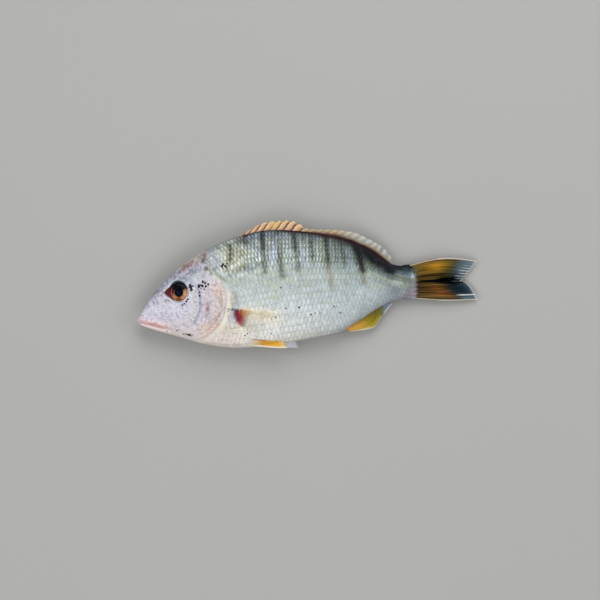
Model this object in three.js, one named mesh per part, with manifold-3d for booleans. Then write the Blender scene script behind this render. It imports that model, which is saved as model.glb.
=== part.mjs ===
// A whole raw striped sea bream, uncleaned and uncut, lying on its right side with its left flank up.
// Millimetres, +Z up. The head points to -X, the back to +Y, and the fish rests on the plane z = 0.
// Lengths along the fish are counted from the tip of the snout, and heights from the axis of the tail.
import * as THREE from "three";
import { mergeVertices } from "three/addons/utils/BufferGeometryUtils.js";
import Module from "manifold-3d";

// Driving dimensions of the whole fish.
const TOTAL_LENGTH = 250;
const FLESH_LENGTH = 207;
const TAIL_AXIS_Y = 2.35;
const NOSE_LENGTH = 5;
const NOSE_Y = -29.2;
const GAP = 0.3;

// The fleshy body at named stations: distance from the snout, height of the back and of the belly,
// half of the thickness, and how high the fish's middle plane lies above the surface it rests on.
const STATIONS = [
  { at: 0, back: -26.3, belly: -31.4, half: 3.0, lift: 12.4 },
  { at: 13, back: -8.2, belly: -36.0, half: 7.4, lift: 12.7 },
  { at: 30, back: 9.2, belly: -40.6, half: 11.6, lift: 13.1 },
  { at: 46, back: 20.3, belly: -45.2, half: 14.0, lift: 13.3 },
  { at: 63, back: 28.4, belly: -48.2, half: 15.4, lift: 13.4 },
  { at: 80, back: 33.9, belly: -48.5, half: 15.8, lift: 13.4 },
  { at: 98, back: 36.9, belly: -46.8, half: 15.7, lift: 13.4 },
  { at: 124, back: 35.6, belly: -42.4, half: 14.7, lift: 13.1 },
  { at: 148, back: 31.6, belly: -37.2, half: 12.1, lift: 12.1 },
  { at: 163, back: 26.5, belly: -28.8, half: 9.7, lift: 10.8 },
  { at: 176, back: 18.8, belly: -20.3, half: 7.6, lift: 9.3 },
  { at: 188, back: 11.7, belly: -14.5, half: 5.8, lift: 7.8 },
  { at: 198, back: 11.6, belly: -13.1, half: 4.6, lift: 6.8 },
  { at: 207, back: 12.0, belly: -12.9, half: 2.4, lift: 6.0 },
];
const WIDEST_SHARE = 0.47; // the thickest part of a section, as a share of its height from the belly
const BELLY_ROUNDNESS = 0.85;
const HEAD_CREST = 0.8;
const BACK_CREST = 1.12;
const FLOOR_BLEND = 0.6; // how softly the flank flattens onto the surface it rests on

// The head's plates and openings, seen from the side.
const EYE = { at: 31, y: -8.1, radius: 6.8, bulge: 1.3, depth: 3.2, rim: 0.5, rimWidth: 1.6, socket: 1.8 };
const GILL_COVER = { at: 36.1, y: -14.6, radius: 29.2, step: 1.3, fade: 17, edge: 1.3 };
const CHEEK_PLATE = { at: 22, y: -16, radius: 24.6, groove: 0.7, width: 1.4 };
const MOUTH = { from: [0, -29.6], to: [25, -36.0], groove: 1.1, width: 1.2, lip: 0.7, lipWidth: 1.7 };
const NOSTRIL = { at: 14.8, y: -8.9, radius: 1.3, depth: 0.8 };
const SHOULDER = { at: 72, y: -25, length: 5, height: 12, raise: 0.8 };

// Fins: how far a root sits in the flesh, and the thickness at the root and at the free margin.
const ROOT_DEPTH = 2.5;
const FIN_THICKNESS = { root: 1.3, margin: 0.7, valley: 0.6 };
const NOTCH = 0.05; // how far the margin draws back between two rays, as a share of the ray

const BODY_RING = 46;
const HEAD_STEP = 2.3;
const FLANK_STEP = 6;
const HEAD_END = 74;
const RING_EVENNESS = 0.4;

const COLOURS = {
  skin: { color: 0xc3c9c7, roughness: 0.35, metalness: 0.15 },
  eye: { color: 0x5a3a22, roughness: 0.1, metalness: 0 },
  dorsal: { color: 0xc7ab88, roughness: 0.45, metalness: 0 },
  tail: { color: 0x7a5a22, roughness: 0.45, metalness: 0 },
  ventral: { color: 0xbd8e33, roughness: 0.45, metalness: 0 },
  pectoral: { color: 0xd9d0b6, roughness: 0.4, metalness: 0 },
};

const { hypot, sin, cos, pow, abs, min, max, sqrt, exp, PI, sign } = Math;
const clamp01 = (t) => min(1, max(0, t));
const lerp = (a, b, t) => a + (b - a) * t;
const bell = (d, width) => exp(-((d / width) ** 2));

function ramp(low, high, x) {
  const t = clamp01((x - low) / (high - low));
  return t * t * (3 - 2 * t);
}

// A smooth curve through points, given as x and y, with the slope at each taken from its neighbours.
function smoothThrough(points) {
  const slope = points.map((_, i) => {
    const a = points[max(0, i - 1)];
    const b = points[min(points.length - 1, i + 1)];
    return (b[1] - a[1]) / (b[0] - a[0]);
  });
  return (x) => {
    let i = 0;
    while (i < points.length - 2 && x > points[i + 1][0]) i += 1;
    const [x0, y0] = points[i];
    const [x1, y1] = points[i + 1];
    const h = x1 - x0;
    const t = clamp01((x - x0) / h);
    const rise = t * t * (3 - 2 * t);
    const start = t * (1 - t) * (1 - t);
    const end = t * t * (t - 1);
    return lerp(y0, y1, rise) + h * (start * slope[i] + end * slope[i + 1]);
  };
}

const along = (key) => smoothThrough(STATIONS.map((row) => [row.at, row[key]]));
const backLine = along("back");
const bellyLine = along("belly");
const halfLine = along("half");
const lift = along("lift");

// The snout is rounded: every section shrinks to its tip over the length of the nose.
const nose = (s) => sqrt(1 - (1 - clamp01(s / NOSE_LENGTH)) ** 2);
const back = (s) => lerp(NOSE_Y, backLine(s), nose(s));
const belly = (s) => lerp(NOSE_Y, bellyLine(s), nose(s));
const half = (s) => halfLine(s) * nose(s);

// Signed distance from a round plate edge, positive outside it.
const outside = (plate, s, y) => hypot(s - plate.at, y - plate.y) - plate.radius;

function gillCover(s, y) {
  const d = outside(GILL_COVER, s, y);
  const rise = d < 0 ? exp(d / GILL_COVER.fade) : clamp01(1 - d / GILL_COVER.edge);
  return GILL_COVER.step * rise * (1 - ramp(-2, 8, y)) * ramp(30, 48, s);
}

function cheekPlate(s, y) {
  const d = outside(CHEEK_PLATE, s, y);
  return -CHEEK_PLATE.groove * bell(d, CHEEK_PLATE.width) * (1 - ramp(-4, 4, y)) * ramp(28, 36, s);
}

function mouth(s, y) {
  const [s0, y0] = MOUTH.from;
  const [s1, y1] = MOUTH.to;
  const t = clamp01(((s - s0) * (s1 - s0) + (y - y0) * (y1 - y0)) / ((s1 - s0) ** 2 + (y1 - y0) ** 2));
  const d = hypot(s - lerp(s0, s1, t), y - lerp(y0, y1, t));
  const fade = 1 - ramp(0.7, 1, t);
  const lips = MOUTH.lip * bell(d - MOUTH.lipWidth * 1.3, MOUTH.lipWidth) * fade;
  return lips - MOUTH.groove * bell(d, MOUTH.width);
}

function shoulder(s, y) {
  const d = hypot((s - SHOULDER.at) / SHOULDER.length, (y - SHOULDER.y) / SHOULDER.height);
  return SHOULDER.raise * bell(d, 1);
}

// The socket is a shallow bowl under the eye, inside a low raised rim.
function eyeSocket(s, y) {
  const d = outside(EYE, s, y);
  return EYE.rim * bell(d - EYE.rimWidth, EYE.rimWidth) - EYE.socket * (1 - ramp(-1.8, 0.4, d));
}

// How far the skin stands out from the plain section at a point of either flank.
function relief(s, y) {
  const nostril = -NOSTRIL.depth * bell(hypot(s - NOSTRIL.at, y - NOSTRIL.y), NOSTRIL.radius);
  return gillCover(s, y) + cheekPlate(s, y) + mouth(s, y) + shoulder(s, y) + eyeSocket(s, y) + nostril;
}

// The lower flank flattens where it meets the resting plane, and is exactly flat on it.
function onFloor(z) {
  if (z >= FLOOR_BLEND) return z;
  if (z <= -FLOOR_BLEND) return 0;
  return (z + FLOOR_BLEND) ** 2 / (4 * FLOOR_BLEND);
}

// Height of the skin at a point of the left flank (side 1) or the right one (side -1).
function flank(s, y, side) {
  const widest = lerp(belly(s), back(s), WIDEST_SHARE);
  const reach = y > widest ? back(s) - widest : widest - belly(s);
  const rise = clamp01(abs(y - widest) / max(reach, 1e-6));
  const crest = lerp(HEAD_CREST, BACK_CREST, ramp(30, 90, s));
  const roundness = y > widest ? crest : BELLY_ROUNDNESS;
  const swell = pow(sqrt(1 - rise * rise), roundness);
  const thickness = half(s) * swell + relief(s, y) * min(1, 2.5 * swell) * nose(s);
  const z = lift(s) + side * thickness;
  return side < 0 ? onFloor(z) : z;
}

// A closed mesh from rings of points, with a fan of triangles at each end.
function loft(rings, first, last) {
  const n = rings[0].length;
  const points = [first, ...rings.flat(), last];
  const faces = [];
  const at = (i, k) => 1 + i * n + (k % n);
  for (let k = 0; k < n; k += 1) {
    faces.push(0, at(0, k), at(0, k + 1));
    faces.push(points.length - 1, at(rings.length - 1, k + 1), at(rings.length - 1, k));
  }
  for (let i = 0; i + 1 < rings.length; i += 1) {
    for (let k = 0; k < n; k += 1) {
      faces.push(at(i, k), at(i + 1, k), at(i + 1, k + 1));
      faces.push(at(i, k), at(i + 1, k + 1), at(i, k + 1));
    }
  }
  return indexed(points, faces);
}

// Six times the volume that the faces enclose, negative when they point inwards.
function enclosed(points, faces) {
  let total = 0;
  for (let i = 0; i < faces.length; i += 3) {
    const [a, b, c] = [faces[i], faces[i + 1], faces[i + 2]].map((k) => new THREE.Vector3(...points[k]));
    total += a.dot(b.cross(c));
  }
  return total;
}

function indexed(points, faces) {
  const geometry = new THREE.BufferGeometry();
  geometry.setAttribute("position", new THREE.Float32BufferAttribute(points.flat(), 3));
  geometry.setIndex(enclosed(points, faces) < 0 ? [...faces].reverse() : faces);
  return geometry;
}

// Shares of the section's height round one ring, from the belly up the left flank and down the right.
function ringShares() {
  const side = BODY_RING / 2;
  const shares = [];
  for (let k = 0; k < BODY_RING; k += 1) {
    const q = k <= side ? (2 * k) / side - 1 : 3 - (2 * k) / side;
    const share = lerp(sin((PI / 2) * q), q, RING_EVENNESS);
    shares.push({ share: (share + 1) / 2, side: k <= side ? 1 : -1 });
  }
  return shares;
}

function bodyStations() {
  const stations = [0.35, 1.1];
  for (let s = HEAD_STEP; s < HEAD_END; s += HEAD_STEP) stations.push(s);
  for (let s = HEAD_END; s < FLESH_LENGTH - FLANK_STEP / 2; s += FLANK_STEP) stations.push(s);
  return [...stations, FLESH_LENGTH];
}

function bodyGeometry() {
  const shares = ringShares();
  const rings = bodyStations().map((s) =>
    shares.map(({ share, side }) => {
      const y = lerp(belly(s), back(s), share);
      return [s, y, flank(s, y, side)];
    }),
  );
  const end = [FLESH_LENGTH, (back(FLESH_LENGTH) + belly(FLESH_LENGTH)) / 2, lift(FLESH_LENGTH)];
  return loft(rings, [0, NOSE_Y, lift(0)], end);
}

// A fin is a thin sheet on rays. Its two faces are split alike, and a rim of faces joins them.
// place(u, v) gives its middle surface, u from the first ray to the last and v from root to margin.
// Grown by a gap, its rows from the root outwards are the shape of the pocket that it sits in.
function finGeometry({ place, rays, rows, pocketRows }, grow = 0) {
  const columns = grow > 0 ? rays : 2 * rays;
  const steps = grow > 0 ? pocketRows : rows;
  const point = (u, v) => new THREE.Vector3(...place(u, v));
  const middle = (i, j) => {
    const u = i / columns;
    const ridge = grow > 0 || i % 2 === 0;
    const v = (j / rows) * (ridge ? 1 : 1 - NOTCH);
    const p = point(u, v);
    const step = 0.01;
    const outward = point(u, v + step).sub(point(u, v)).normalize();
    const across = point(u + step, v).sub(point(u - step, v)).normalize();
    const thick = lerp(FIN_THICKNESS.root, FIN_THICKNESS.margin, j / rows);
    const normal = new THREE.Vector3().crossVectors(across, outward).normalize();
    if (normal.z < 0) normal.negate();
    if (j === 0) p.addScaledVector(outward, -grow);
    if (j === steps) p.addScaledVector(outward, grow);
    if (i === 0) p.addScaledVector(across, -grow);
    if (i === columns) p.addScaledVector(across, grow);
    return { p, offset: normal.multiplyScalar((thick * (ridge ? 1 : FIN_THICKNESS.valley)) / 2 + grow) };
  };
  const sheet = [];
  for (let i = 0; i <= columns; i += 1) {
    sheet.push([]);
    for (let j = 0; j <= steps; j += 1) sheet[i].push(middle(i, j));
  }
  return sheetGeometry(sheet, columns, steps);
}

function sheetGeometry(sheet, columns, steps) {
  const face = (way) =>
    sheet.flat().map(({ p, offset }) => p.clone().addScaledVector(offset, way).toArray());
  const points = [...face(1), ...face(-1)];
  const below = points.length / 2;
  const at = (i, j) => i * (steps + 1) + j;
  const faces = [];
  const quad = (a, b, c, d) => faces.push(a, b, c, a, c, d);
  for (let i = 0; i < columns; i += 1) {
    for (let j = 0; j < steps; j += 1) {
      const [a, b, c, d] = [at(i, j), at(i + 1, j), at(i + 1, j + 1), at(i, j + 1)];
      faces.push(a, b, c, a, c, d);
      faces.push(below + a, below + c, below + b, below + a, below + d, below + c);
    }
    quad(at(i, 0), below + at(i, 0), below + at(i + 1, 0), at(i + 1, 0));
    quad(at(i + 1, steps), below + at(i + 1, steps), below + at(i, steps), at(i, steps));
  }
  for (let j = 0; j < steps; j += 1) {
    quad(at(0, j + 1), below + at(0, j + 1), below + at(0, j), at(0, j));
    quad(at(columns, j), below + at(columns, j), below + at(columns, j + 1), at(columns, j + 1));
  }
  return indexed(points, faces);
}

// Dorsal fin: eleven spines folded back in a low hump, a dip, then twelve soft rays.
const DORSAL = {
  rays: 23,
  rows: 3,
  pocketRows: 3,
  first: 69,
  last: 183.5,
  lean: 9,
  lastLean: 2.8,
  droop: 2.2,
};
const dorsalHeight = smoothThrough([
  [78, 1.6],
  [84, 3.5],
  [91, 5.9],
  [104, 7.2],
  [112, 7.8],
  [118, 6.6],
  [122, 4.2],
  [125, 2.8],
  [134, 3.4],
  [154, 6.6],
  [166, 7.8],
  [181, 8.5],
  [186, 5.2],
]);

function dorsalPlace(u, v) {
  const s = lerp(DORSAL.first, DORSAL.last, u);
  const tip = s + lerp(DORSAL.lean, DORSAL.lastLean, ramp(0.8, 1, u));
  const root = back(s) - ROOT_DEPTH;
  const margin = back(tip) + dorsalHeight(tip);
  return [lerp(s, tip, v), lerp(root, margin, v), lift(lerp(s, tip, v)) - DORSAL.droop * v * v];
}

// Anal fin: three spines and ten soft rays, half folded against the belly's slope.
const ANAL = { rays: 13, rows: 3, pocketRows: 2, first: 151, last: 181, droop: 3.5 };
const analTip = smoothThrough([
  [0, 156.4],
  [0.3, 168],
  [0.5, 174.4],
  [0.72, 178.2],
  [0.86, 182.6],
  [1, 187],
]);
const analMargin = smoothThrough([
  [0, -36.9],
  [0.3, -35.6],
  [0.5, -33.4],
  [0.72, -27.6],
  [0.86, -22.2],
  [1, -16.6],
]);

function analPlace(u, v) {
  const s = lerp(ANAL.first, ANAL.last, u);
  const x = lerp(s, analTip(u), v);
  return [x, lerp(belly(s) + ROOT_DEPTH, analMargin(u), v), lift(x) - ANAL.droop * v * v];
}

// Tail fin: seventeen rays from the fleshy root to a forked margin, its lobes half closed together.
const TAIL = { rays: 17, rows: 7, pocketRows: 2, root: 200, fork: 237.8, upperTip: 249.3, lowerTip: 250 };
const TAIL_Y = { rootUp: 11.4, rootLow: -12.2, fork: 0, upperTip: 14.6, lowerTip: -13.4 };
const TAIL_BOW = { upper: 3.6, lower: -1.1 };
const TAIL_SHARPNESS = { upper: 0.94, lower: 0.45 }; // 1 is a straight free margin, less bulges out
const TAIL_DROOP = { tip: 3.6, fold: 1.1, foldWidth: 0.16 };

function tailPlace(u, v) {
  const spread = abs(2 * u - 1);
  const upper = u < 0.5;
  const tip = upper ? TAIL.upperTip : TAIL.lowerTip;
  const marginX = lerp(TAIL.fork, tip, pow(spread, upper ? TAIL_SHARPNESS.upper : TAIL_SHARPNESS.lower));
  const marginY = lerp(TAIL_Y.fork, upper ? TAIL_Y.upperTip : TAIL_Y.lowerTip, spread);
  const rootY = lerp(TAIL_Y.rootUp, TAIL_Y.rootLow, u);
  const bow = (upper ? TAIL_BOW.upper : TAIL_BOW.lower) * spread * sin(PI * clamp01(v));
  const x = lerp(TAIL.root, marginX, v);
  const fold = TAIL_DROOP.fold * bell(u - 0.5, TAIL_DROOP.foldWidth) * sin(PI * clamp01(v));
  return [x, lerp(rootY, marginY, v) + bow, lift(TAIL.root) - TAIL_DROOP.tip * v * v - fold];
}

// Pectoral fin: fifteen rays laid back over the flank behind the gill cover, one fin on each side.
const PECTORAL = { rays: 15, rows: 4, lay: 1.1, sink: 2.5 };
const PECTORAL_ROOT = { upper: [71.5, -20.8], lower: [75, -31.6] };
const pectoralTip = smoothThrough([
  [0, 114],
  [0.2, 112.5],
  [0.45, 106.5],
  [0.75, 97.5],
  [1, 88.5],
]);
const pectoralMargin = smoothThrough([
  [0, -24.6],
  [0.2, -28],
  [0.45, -32],
  [0.75, -36],
  [1, -38],
]);

function pectoralPlace(side) {
  return (u, v) => {
    const { upper, lower } = PECTORAL_ROOT;
    const x = lerp(lerp(upper[0], lower[0], u), pectoralTip(u), v);
    const y = lerp(lerp(upper[1], lower[1], u), pectoralMargin(u), v);
    const sunk = PECTORAL.sink * (1 - ramp(0, 0.22, v));
    const z = flank(x, y, side) + side * (PECTORAL.lay - sunk);
    return [x, y, side > 0 ? z : max(z, FIN_THICKNESS.root)];
  };
}

// Pelvic fins: a spine and five rays each, folded back along the belly. The lower fin lies further back.
const PELVIC = { rays: 6, rows: 5, pocketRows: 2, length: 32, rise: 1.4, lay: 1.1 };
const PELVIC_LEFT = { side: 1, at: 78, root: [-46.2, -42.4], margin: [-48.8, -44.2], slip: 0 };
const PELVIC_RIGHT = { side: -1, at: 80, root: [-45.8, -42.2], margin: [-48.6, -42.6], slip: 6 };

function pelvicPlace({ side, at, root, margin, slip }) {
  return (u, v) => {
    const x = at + 2 * u + (PELVIC.length + slip - 4 * u) * v;
    const y = lerp(lerp(root[0], root[1], u), lerp(margin[0], margin[1], u), ramp(-0.2, 0.9, v));
    const edge = belly(x) + PELVIC.rise;
    const z = flank(x, max(y, edge), side) + side * (PELVIC.lay - ROOT_DEPTH * (1 - ramp(0, 0.3, v)));
    return [x, y, z];
  };
}

function eyeGeometry(side, grow = 0) {
  const ball = new THREE.SphereGeometry(1, 20, 12);
  ball.rotateX(PI / 2);
  ball.scale(EYE.radius + grow, EYE.radius + grow, EYE.depth + grow);
  const cheek = flank(EYE.at, EYE.y, side) + side * EYE.socket;
  ball.translate(EYE.at, EYE.y, cheek + side * (EYE.bulge - EYE.depth));
  return ball;
}

const wasm = await Module();
wasm.setup();

function solidOf(geometry) {
  const bare = geometry.clone();
  bare.deleteAttribute("normal");
  bare.deleteAttribute("uv");
  const merged = mergeVertices(bare, 1e-4);
  const vertProperties = merged.attributes.position.array;
  const triVerts = new Uint32Array(merged.index.array);
  return new wasm.Manifold(new wasm.Mesh({ numProp: 3, vertProperties, triVerts }));
}

function geometryOf(solid) {
  const { vertProperties, triVerts } = solid.getMesh();
  const geometry = new THREE.BufferGeometry();
  geometry.setAttribute("position", new THREE.BufferAttribute(vertProperties, 3));
  geometry.setIndex(new THREE.BufferAttribute(triVerts, 1));
  geometry.computeVertexNormals();
  return geometry;
}

// The right pectoral fin is pressed into the flank under the fish's weight, so its pocket is full length.
const FINS = {
  dorsal_fin: { ...DORSAL, place: dorsalPlace, look: "dorsal" },
  anal_fin: { ...ANAL, place: analPlace, look: "ventral" },
  tail_fin: { ...TAIL, place: tailPlace, look: "tail" },
  left_pectoral_fin: { ...PECTORAL, pocketRows: 1, place: pectoralPlace(1), look: "pectoral" },
  right_pectoral_fin: { ...PECTORAL, pocketRows: PECTORAL.rows, place: pectoralPlace(-1), look: "pectoral" },
  left_pelvic_fin: { ...PELVIC, place: pelvicPlace(PELVIC_LEFT), look: "ventral" },
  right_pelvic_fin: { ...PELVIC, place: pelvicPlace(PELVIC_RIGHT), look: "ventral" },
};
const EYES = { left_eye: 1, right_eye: -1 };

// The body is cut back from every fin root and eyeball, so that each sits in its own close pocket.
function cutBody() {
  let solid = solidOf(bodyGeometry());
  for (const fin of Object.values(FINS)) solid = solid.subtract(solidOf(finGeometry(fin, GAP)));
  for (const side of Object.values(EYES)) solid = solid.subtract(solidOf(eyeGeometry(side, GAP)));
  return geometryOf(solid);
}

const fish = new THREE.Group();

function add(name, geometry, look) {
  const mesh = new THREE.Mesh(geometry, new THREE.MeshStandardMaterial(COLOURS[look]));
  mesh.name = name;
  fish.add(mesh);
}

add("body", cutBody(), "skin");
for (const [name, fin] of Object.entries(FINS)) add(name, finGeometry(fin), fin.look);
for (const [name, side] of Object.entries(EYES)) add(name, eyeGeometry(side), "eye");
fish.position.set(-TOTAL_LENGTH / 2, TAIL_AXIS_Y, 0);

export default fish;
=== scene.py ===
import math

import bmesh
import bpy
import numpy as np
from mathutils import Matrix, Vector


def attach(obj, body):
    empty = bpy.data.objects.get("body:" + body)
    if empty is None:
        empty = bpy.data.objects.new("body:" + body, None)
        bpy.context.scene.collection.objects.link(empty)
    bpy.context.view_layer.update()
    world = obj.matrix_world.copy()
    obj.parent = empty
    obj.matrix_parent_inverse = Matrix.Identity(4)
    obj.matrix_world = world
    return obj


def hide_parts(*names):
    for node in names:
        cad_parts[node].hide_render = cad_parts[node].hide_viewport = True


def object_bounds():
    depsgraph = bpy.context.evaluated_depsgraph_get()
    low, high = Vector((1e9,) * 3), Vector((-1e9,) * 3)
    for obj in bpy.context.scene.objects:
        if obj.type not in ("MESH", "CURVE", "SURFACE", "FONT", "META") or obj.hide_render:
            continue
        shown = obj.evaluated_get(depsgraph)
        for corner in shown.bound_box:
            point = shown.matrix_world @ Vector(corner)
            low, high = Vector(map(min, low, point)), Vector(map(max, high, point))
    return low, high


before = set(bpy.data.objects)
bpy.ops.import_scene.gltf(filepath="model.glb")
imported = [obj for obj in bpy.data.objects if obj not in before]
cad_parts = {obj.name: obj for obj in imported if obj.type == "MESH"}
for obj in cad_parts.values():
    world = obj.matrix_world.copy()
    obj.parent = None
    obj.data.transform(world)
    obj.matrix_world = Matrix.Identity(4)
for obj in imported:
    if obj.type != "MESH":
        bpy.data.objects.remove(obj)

# A whole raw striped sea bream on its right side. Lengths are millimetres until a mesh is made:
# s runs from the tip of the snout to the tail, y is the height above the axis of the tail, and z
# is the height above the floor. side is 1 for the left flank, on top, and -1 for the right one.
MM = 0.001
cad_low, cad_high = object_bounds()
NOSE_X = cad_low.x / MM
TAIL_AXIS_Y = 2.35
BODY = "root"
SIDES = ((1, "left"), (-1, "right"))

# ---- Form of the fish ----

FLESH_LENGTH = 207.0
NOSE_LENGTH = 5.0
NOSE_Y = -29.2
ROOT_DEPTH = 2.5

# Station, back, belly, half thickness, and height of the middle plane.
STATIONS = np.array([
    (0, -26.3, -31.4, 3.0, 12.4),
    (13, -8.2, -36.0, 7.4, 12.7),
    (30, 9.2, -40.6, 11.6, 13.1),
    (46, 20.3, -45.2, 14.0, 13.3),
    (63, 28.4, -48.2, 15.4, 13.4),
    (80, 33.9, -48.5, 15.8, 13.4),
    (98, 36.9, -46.8, 15.7, 13.4),
    (124, 35.6, -42.4, 14.7, 13.1),
    (148, 31.6, -37.2, 12.1, 12.1),
    (163, 26.5, -28.8, 9.7, 10.8),
    (176, 18.8, -20.3, 7.6, 9.3),
    (188, 11.7, -14.5, 5.8, 7.8),
    (198, 11.6, -13.1, 4.6, 6.8),
    (207, 12.0, -12.9, 2.4, 6.0),
])
WIDEST_SHARE = 0.47  # height of the thickest part of a section, as a share from the belly
# Powers of a half ellipse: under 1 a section is fuller than it, and over 1 it is sharper.
BELLY_ROUNDNESS = 0.85
HEAD_CREST = 0.8
BACK_CREST = 1.12
CREST_CHANGE = (30, 90)  # stations between which the head's crest turns into the back's
RELIEF_REACH = 2.5  # the more, the closer to the keel and the crest the relief keeps its height
FLOOR_BLEND = 0.6  # how softly the right flank flattens onto the floor
SCALE_ROOM = 0.2  # the gap under the right flank, which its scales fill
TAIL_CLOSE = 5.0  # the length over which the flesh thins onto the rays of the tail
TAIL_THINNING = 0.93  # 1 would let it end in a sharp edge

# Relief of the head. top and front say where a plate's edge fades out.
EYE = dict(at=31.0, y=-8.1, radius=6.8, bulge=1.3, depth=3.2, rim=0.5, rim_width=1.6, socket=1.8,
           wall=(-1.8, 0.4), shaded_top=7.3)
GILL_COVER = dict(at=36.1, y=-14.6, radius=29.2, step=1.3, fade=17.0, edge=1.3, top=(-2, 8), front=(30, 48))
CHEEK_PLATE = dict(at=22.0, y=-16.0, radius=24.6, groove=0.7, width=1.4, top=(-4, 4), front=(28, 36))
MOUTH = dict(start=(0.0, -29.6), end=(25.0, -36.0), groove=1.1, width=1.2, lip=0.7, lip_width=1.7,
             lip_place=1.3, corner=(0.7, 1))
# Nostrils: station, height, half width and depth.
NOSTRILS = [(14.8, -8.9, 1.3, 0.8), (17.9, -8.2, 0.9, 0.6)]
SHOULDER = dict(at=72.0, y=-25.0, length=5.0, height=12.0, rise=0.8)


def ramp(low, high, x):
    """0 below low, 1 above high, and a smooth rise between them."""
    share = np.clip((np.asarray(x, float) - low) / (high - low), 0, 1)
    return share * share * (3 - 2 * share)


def fall(low, high, x):
    """1 below low, 0 above high."""
    return 1 - ramp(low, high, x)


def band(start, full, fading, end, x):
    """1 between full and fading, 0 before start and after end."""
    return ramp(start, full, x) * fall(fading, end, x)


def bell(distance, width):
    return np.exp(-((distance / width) ** 2))


def lerp(a, b, t):
    return a + (b - a) * t


def smooth_through(points):
    """A smooth curve through (x, y) points, with slopes taken from each point's neighbours."""
    xs, ys = np.array(points, float).T
    slope = np.empty_like(ys)
    slope[1:-1] = (ys[2:] - ys[:-2]) / (xs[2:] - xs[:-2])
    slope[0] = (ys[1] - ys[0]) / (xs[1] - xs[0])
    slope[-1] = (ys[-1] - ys[-2]) / (xs[-1] - xs[-2])

    def curve(x):
        x = np.asarray(x, float)
        i = np.clip(np.searchsorted(xs, x) - 1, 0, len(xs) - 2)
        width = xs[i + 1] - xs[i]
        t = np.clip((x - xs[i]) / width, 0, 1)
        start = t * (1 - t) * (1 - t)
        end = t * t * (t - 1)
        return lerp(ys[i], ys[i + 1], ramp(0, 1, t)) + width * (start * slope[i] + end * slope[i + 1])

    return curve


back_line, belly_line, half_line, lift = (smooth_through(STATIONS[:, [0, k]]) for k in (1, 2, 3, 4))


def nose(s):
    return np.sqrt(1 - (1 - np.clip(s / NOSE_LENGTH, 0, 1)) ** 2)


def back(s):
    return lerp(NOSE_Y, back_line(s), nose(s))


def belly(s):
    return lerp(NOSE_Y, belly_line(s), nose(s))


def half(s):
    """Half of the thickness, rounded at the snout and thinning onto the rays of the tail."""
    closing = np.clip((s - (FLESH_LENGTH - TAIL_CLOSE)) / TAIL_CLOSE, 0, 1)
    return half_line(s) * nose(s) * np.sqrt(1 - TAIL_THINNING * closing ** 2)


def outside(plate, s, y):
    """Distance outside the round edge of a plate, negative inside it."""
    return np.hypot(s - plate["at"], y - plate["y"]) - plate["radius"]


def gill_cover(s, y):
    d = outside(GILL_COVER, s, y)
    rise = np.where(d < 0, np.exp(np.minimum(d, 0) / GILL_COVER["fade"]),
                    np.clip(1 - d / GILL_COVER["edge"], 0, 1))
    return GILL_COVER["step"] * rise * fall(*GILL_COVER["top"], y) * ramp(*GILL_COVER["front"], s)


def cheek_plate(s, y):
    groove = bell(outside(CHEEK_PLATE, s, y), CHEEK_PLATE["width"])
    return -CHEEK_PLATE["groove"] * groove * fall(*CHEEK_PLATE["top"], y) * ramp(*CHEEK_PLATE["front"], s)


def from_line(s, y, start, end):
    """Distance from the line between two points, and how far along it, from 0 to 1."""
    (s0, y0), (s1, y1) = start, end
    t = ((s - s0) * (s1 - s0) + (y - y0) * (y1 - y0)) / ((s1 - s0) ** 2 + (y1 - y0) ** 2)
    t = np.clip(t, 0, 1)
    return np.hypot(s - lerp(s0, s1, t), y - lerp(y0, y1, t)), t


def mouth(s, y):
    d, t = from_line(s, y, MOUTH["start"], MOUTH["end"])
    lips = MOUTH["lip"] * bell(d - MOUTH["lip_width"] * MOUTH["lip_place"], MOUTH["lip_width"])
    return lips * fall(*MOUTH["corner"], t) - MOUTH["groove"] * bell(d, MOUTH["width"])


def shoulder(s, y):
    d = np.hypot((s - SHOULDER["at"]) / SHOULDER["length"], (y - SHOULDER["y"]) / SHOULDER["height"])
    return SHOULDER["rise"] * bell(d, 1)


def eye_socket(s, y):
    d = outside(EYE, s, y)
    rim = EYE["rim"] * bell(d - EYE["rim_width"], EYE["rim_width"])
    return rim - EYE["socket"] * fall(*EYE["wall"], d)


def nostrils(s, y):
    return -sum(deep * bell(np.hypot(s - at, y - up), wide) for at, up, wide, deep in NOSTRILS)


def relief(s, y):
    plates = gill_cover(s, y) + cheek_plate(s, y) + shoulder(s, y)
    return plates + mouth(s, y) + eye_socket(s, y) + nostrils(s, y)


def on_floor(z):
    pressed = np.where(z <= -FLOOR_BLEND, 0, (z + FLOOR_BLEND) ** 2 / (4 * FLOOR_BLEND))
    return np.where(z >= FLOOR_BLEND, z, pressed)


def height_share(s, y):
    """Where a height lies in its section, from 0 at the belly to 1 at the back."""
    return (y - belly(s)) / np.maximum(back(s) - belly(s), 1e-6)


def flank(s, y, side):
    """Height of the skin at a point of one flank."""
    widest = lerp(belly(s), back(s), WIDEST_SHARE)
    above = y > widest
    reach = np.where(above, back(s) - widest, widest - belly(s))
    rise = np.clip(np.abs(y - widest) / np.maximum(reach, 1e-6), 0, 1)
    crest = lerp(HEAD_CREST, BACK_CREST, ramp(*CREST_CHANGE, s))
    swell = np.sqrt(1 - rise * rise) ** np.where(above, crest, BELLY_ROUNDNESS)
    thickness = half(s) * swell + relief(s, y) * np.minimum(1, RELIEF_REACH * swell) * nose(s)
    z = lift(s) + side * thickness
    return z if side > 0 else np.maximum(on_floor(z), SCALE_ROOM)


# ---- Colours ----


def linear(code):
    """A colour, given as six hex digits, in linear light."""
    value = np.array([int(code[i:i + 2], 16) for i in (0, 2, 4)]) / 255
    return np.where(value <= 0.04045, value / 12.92, ((value + 0.055) / 1.055) ** 2.4)


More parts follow.
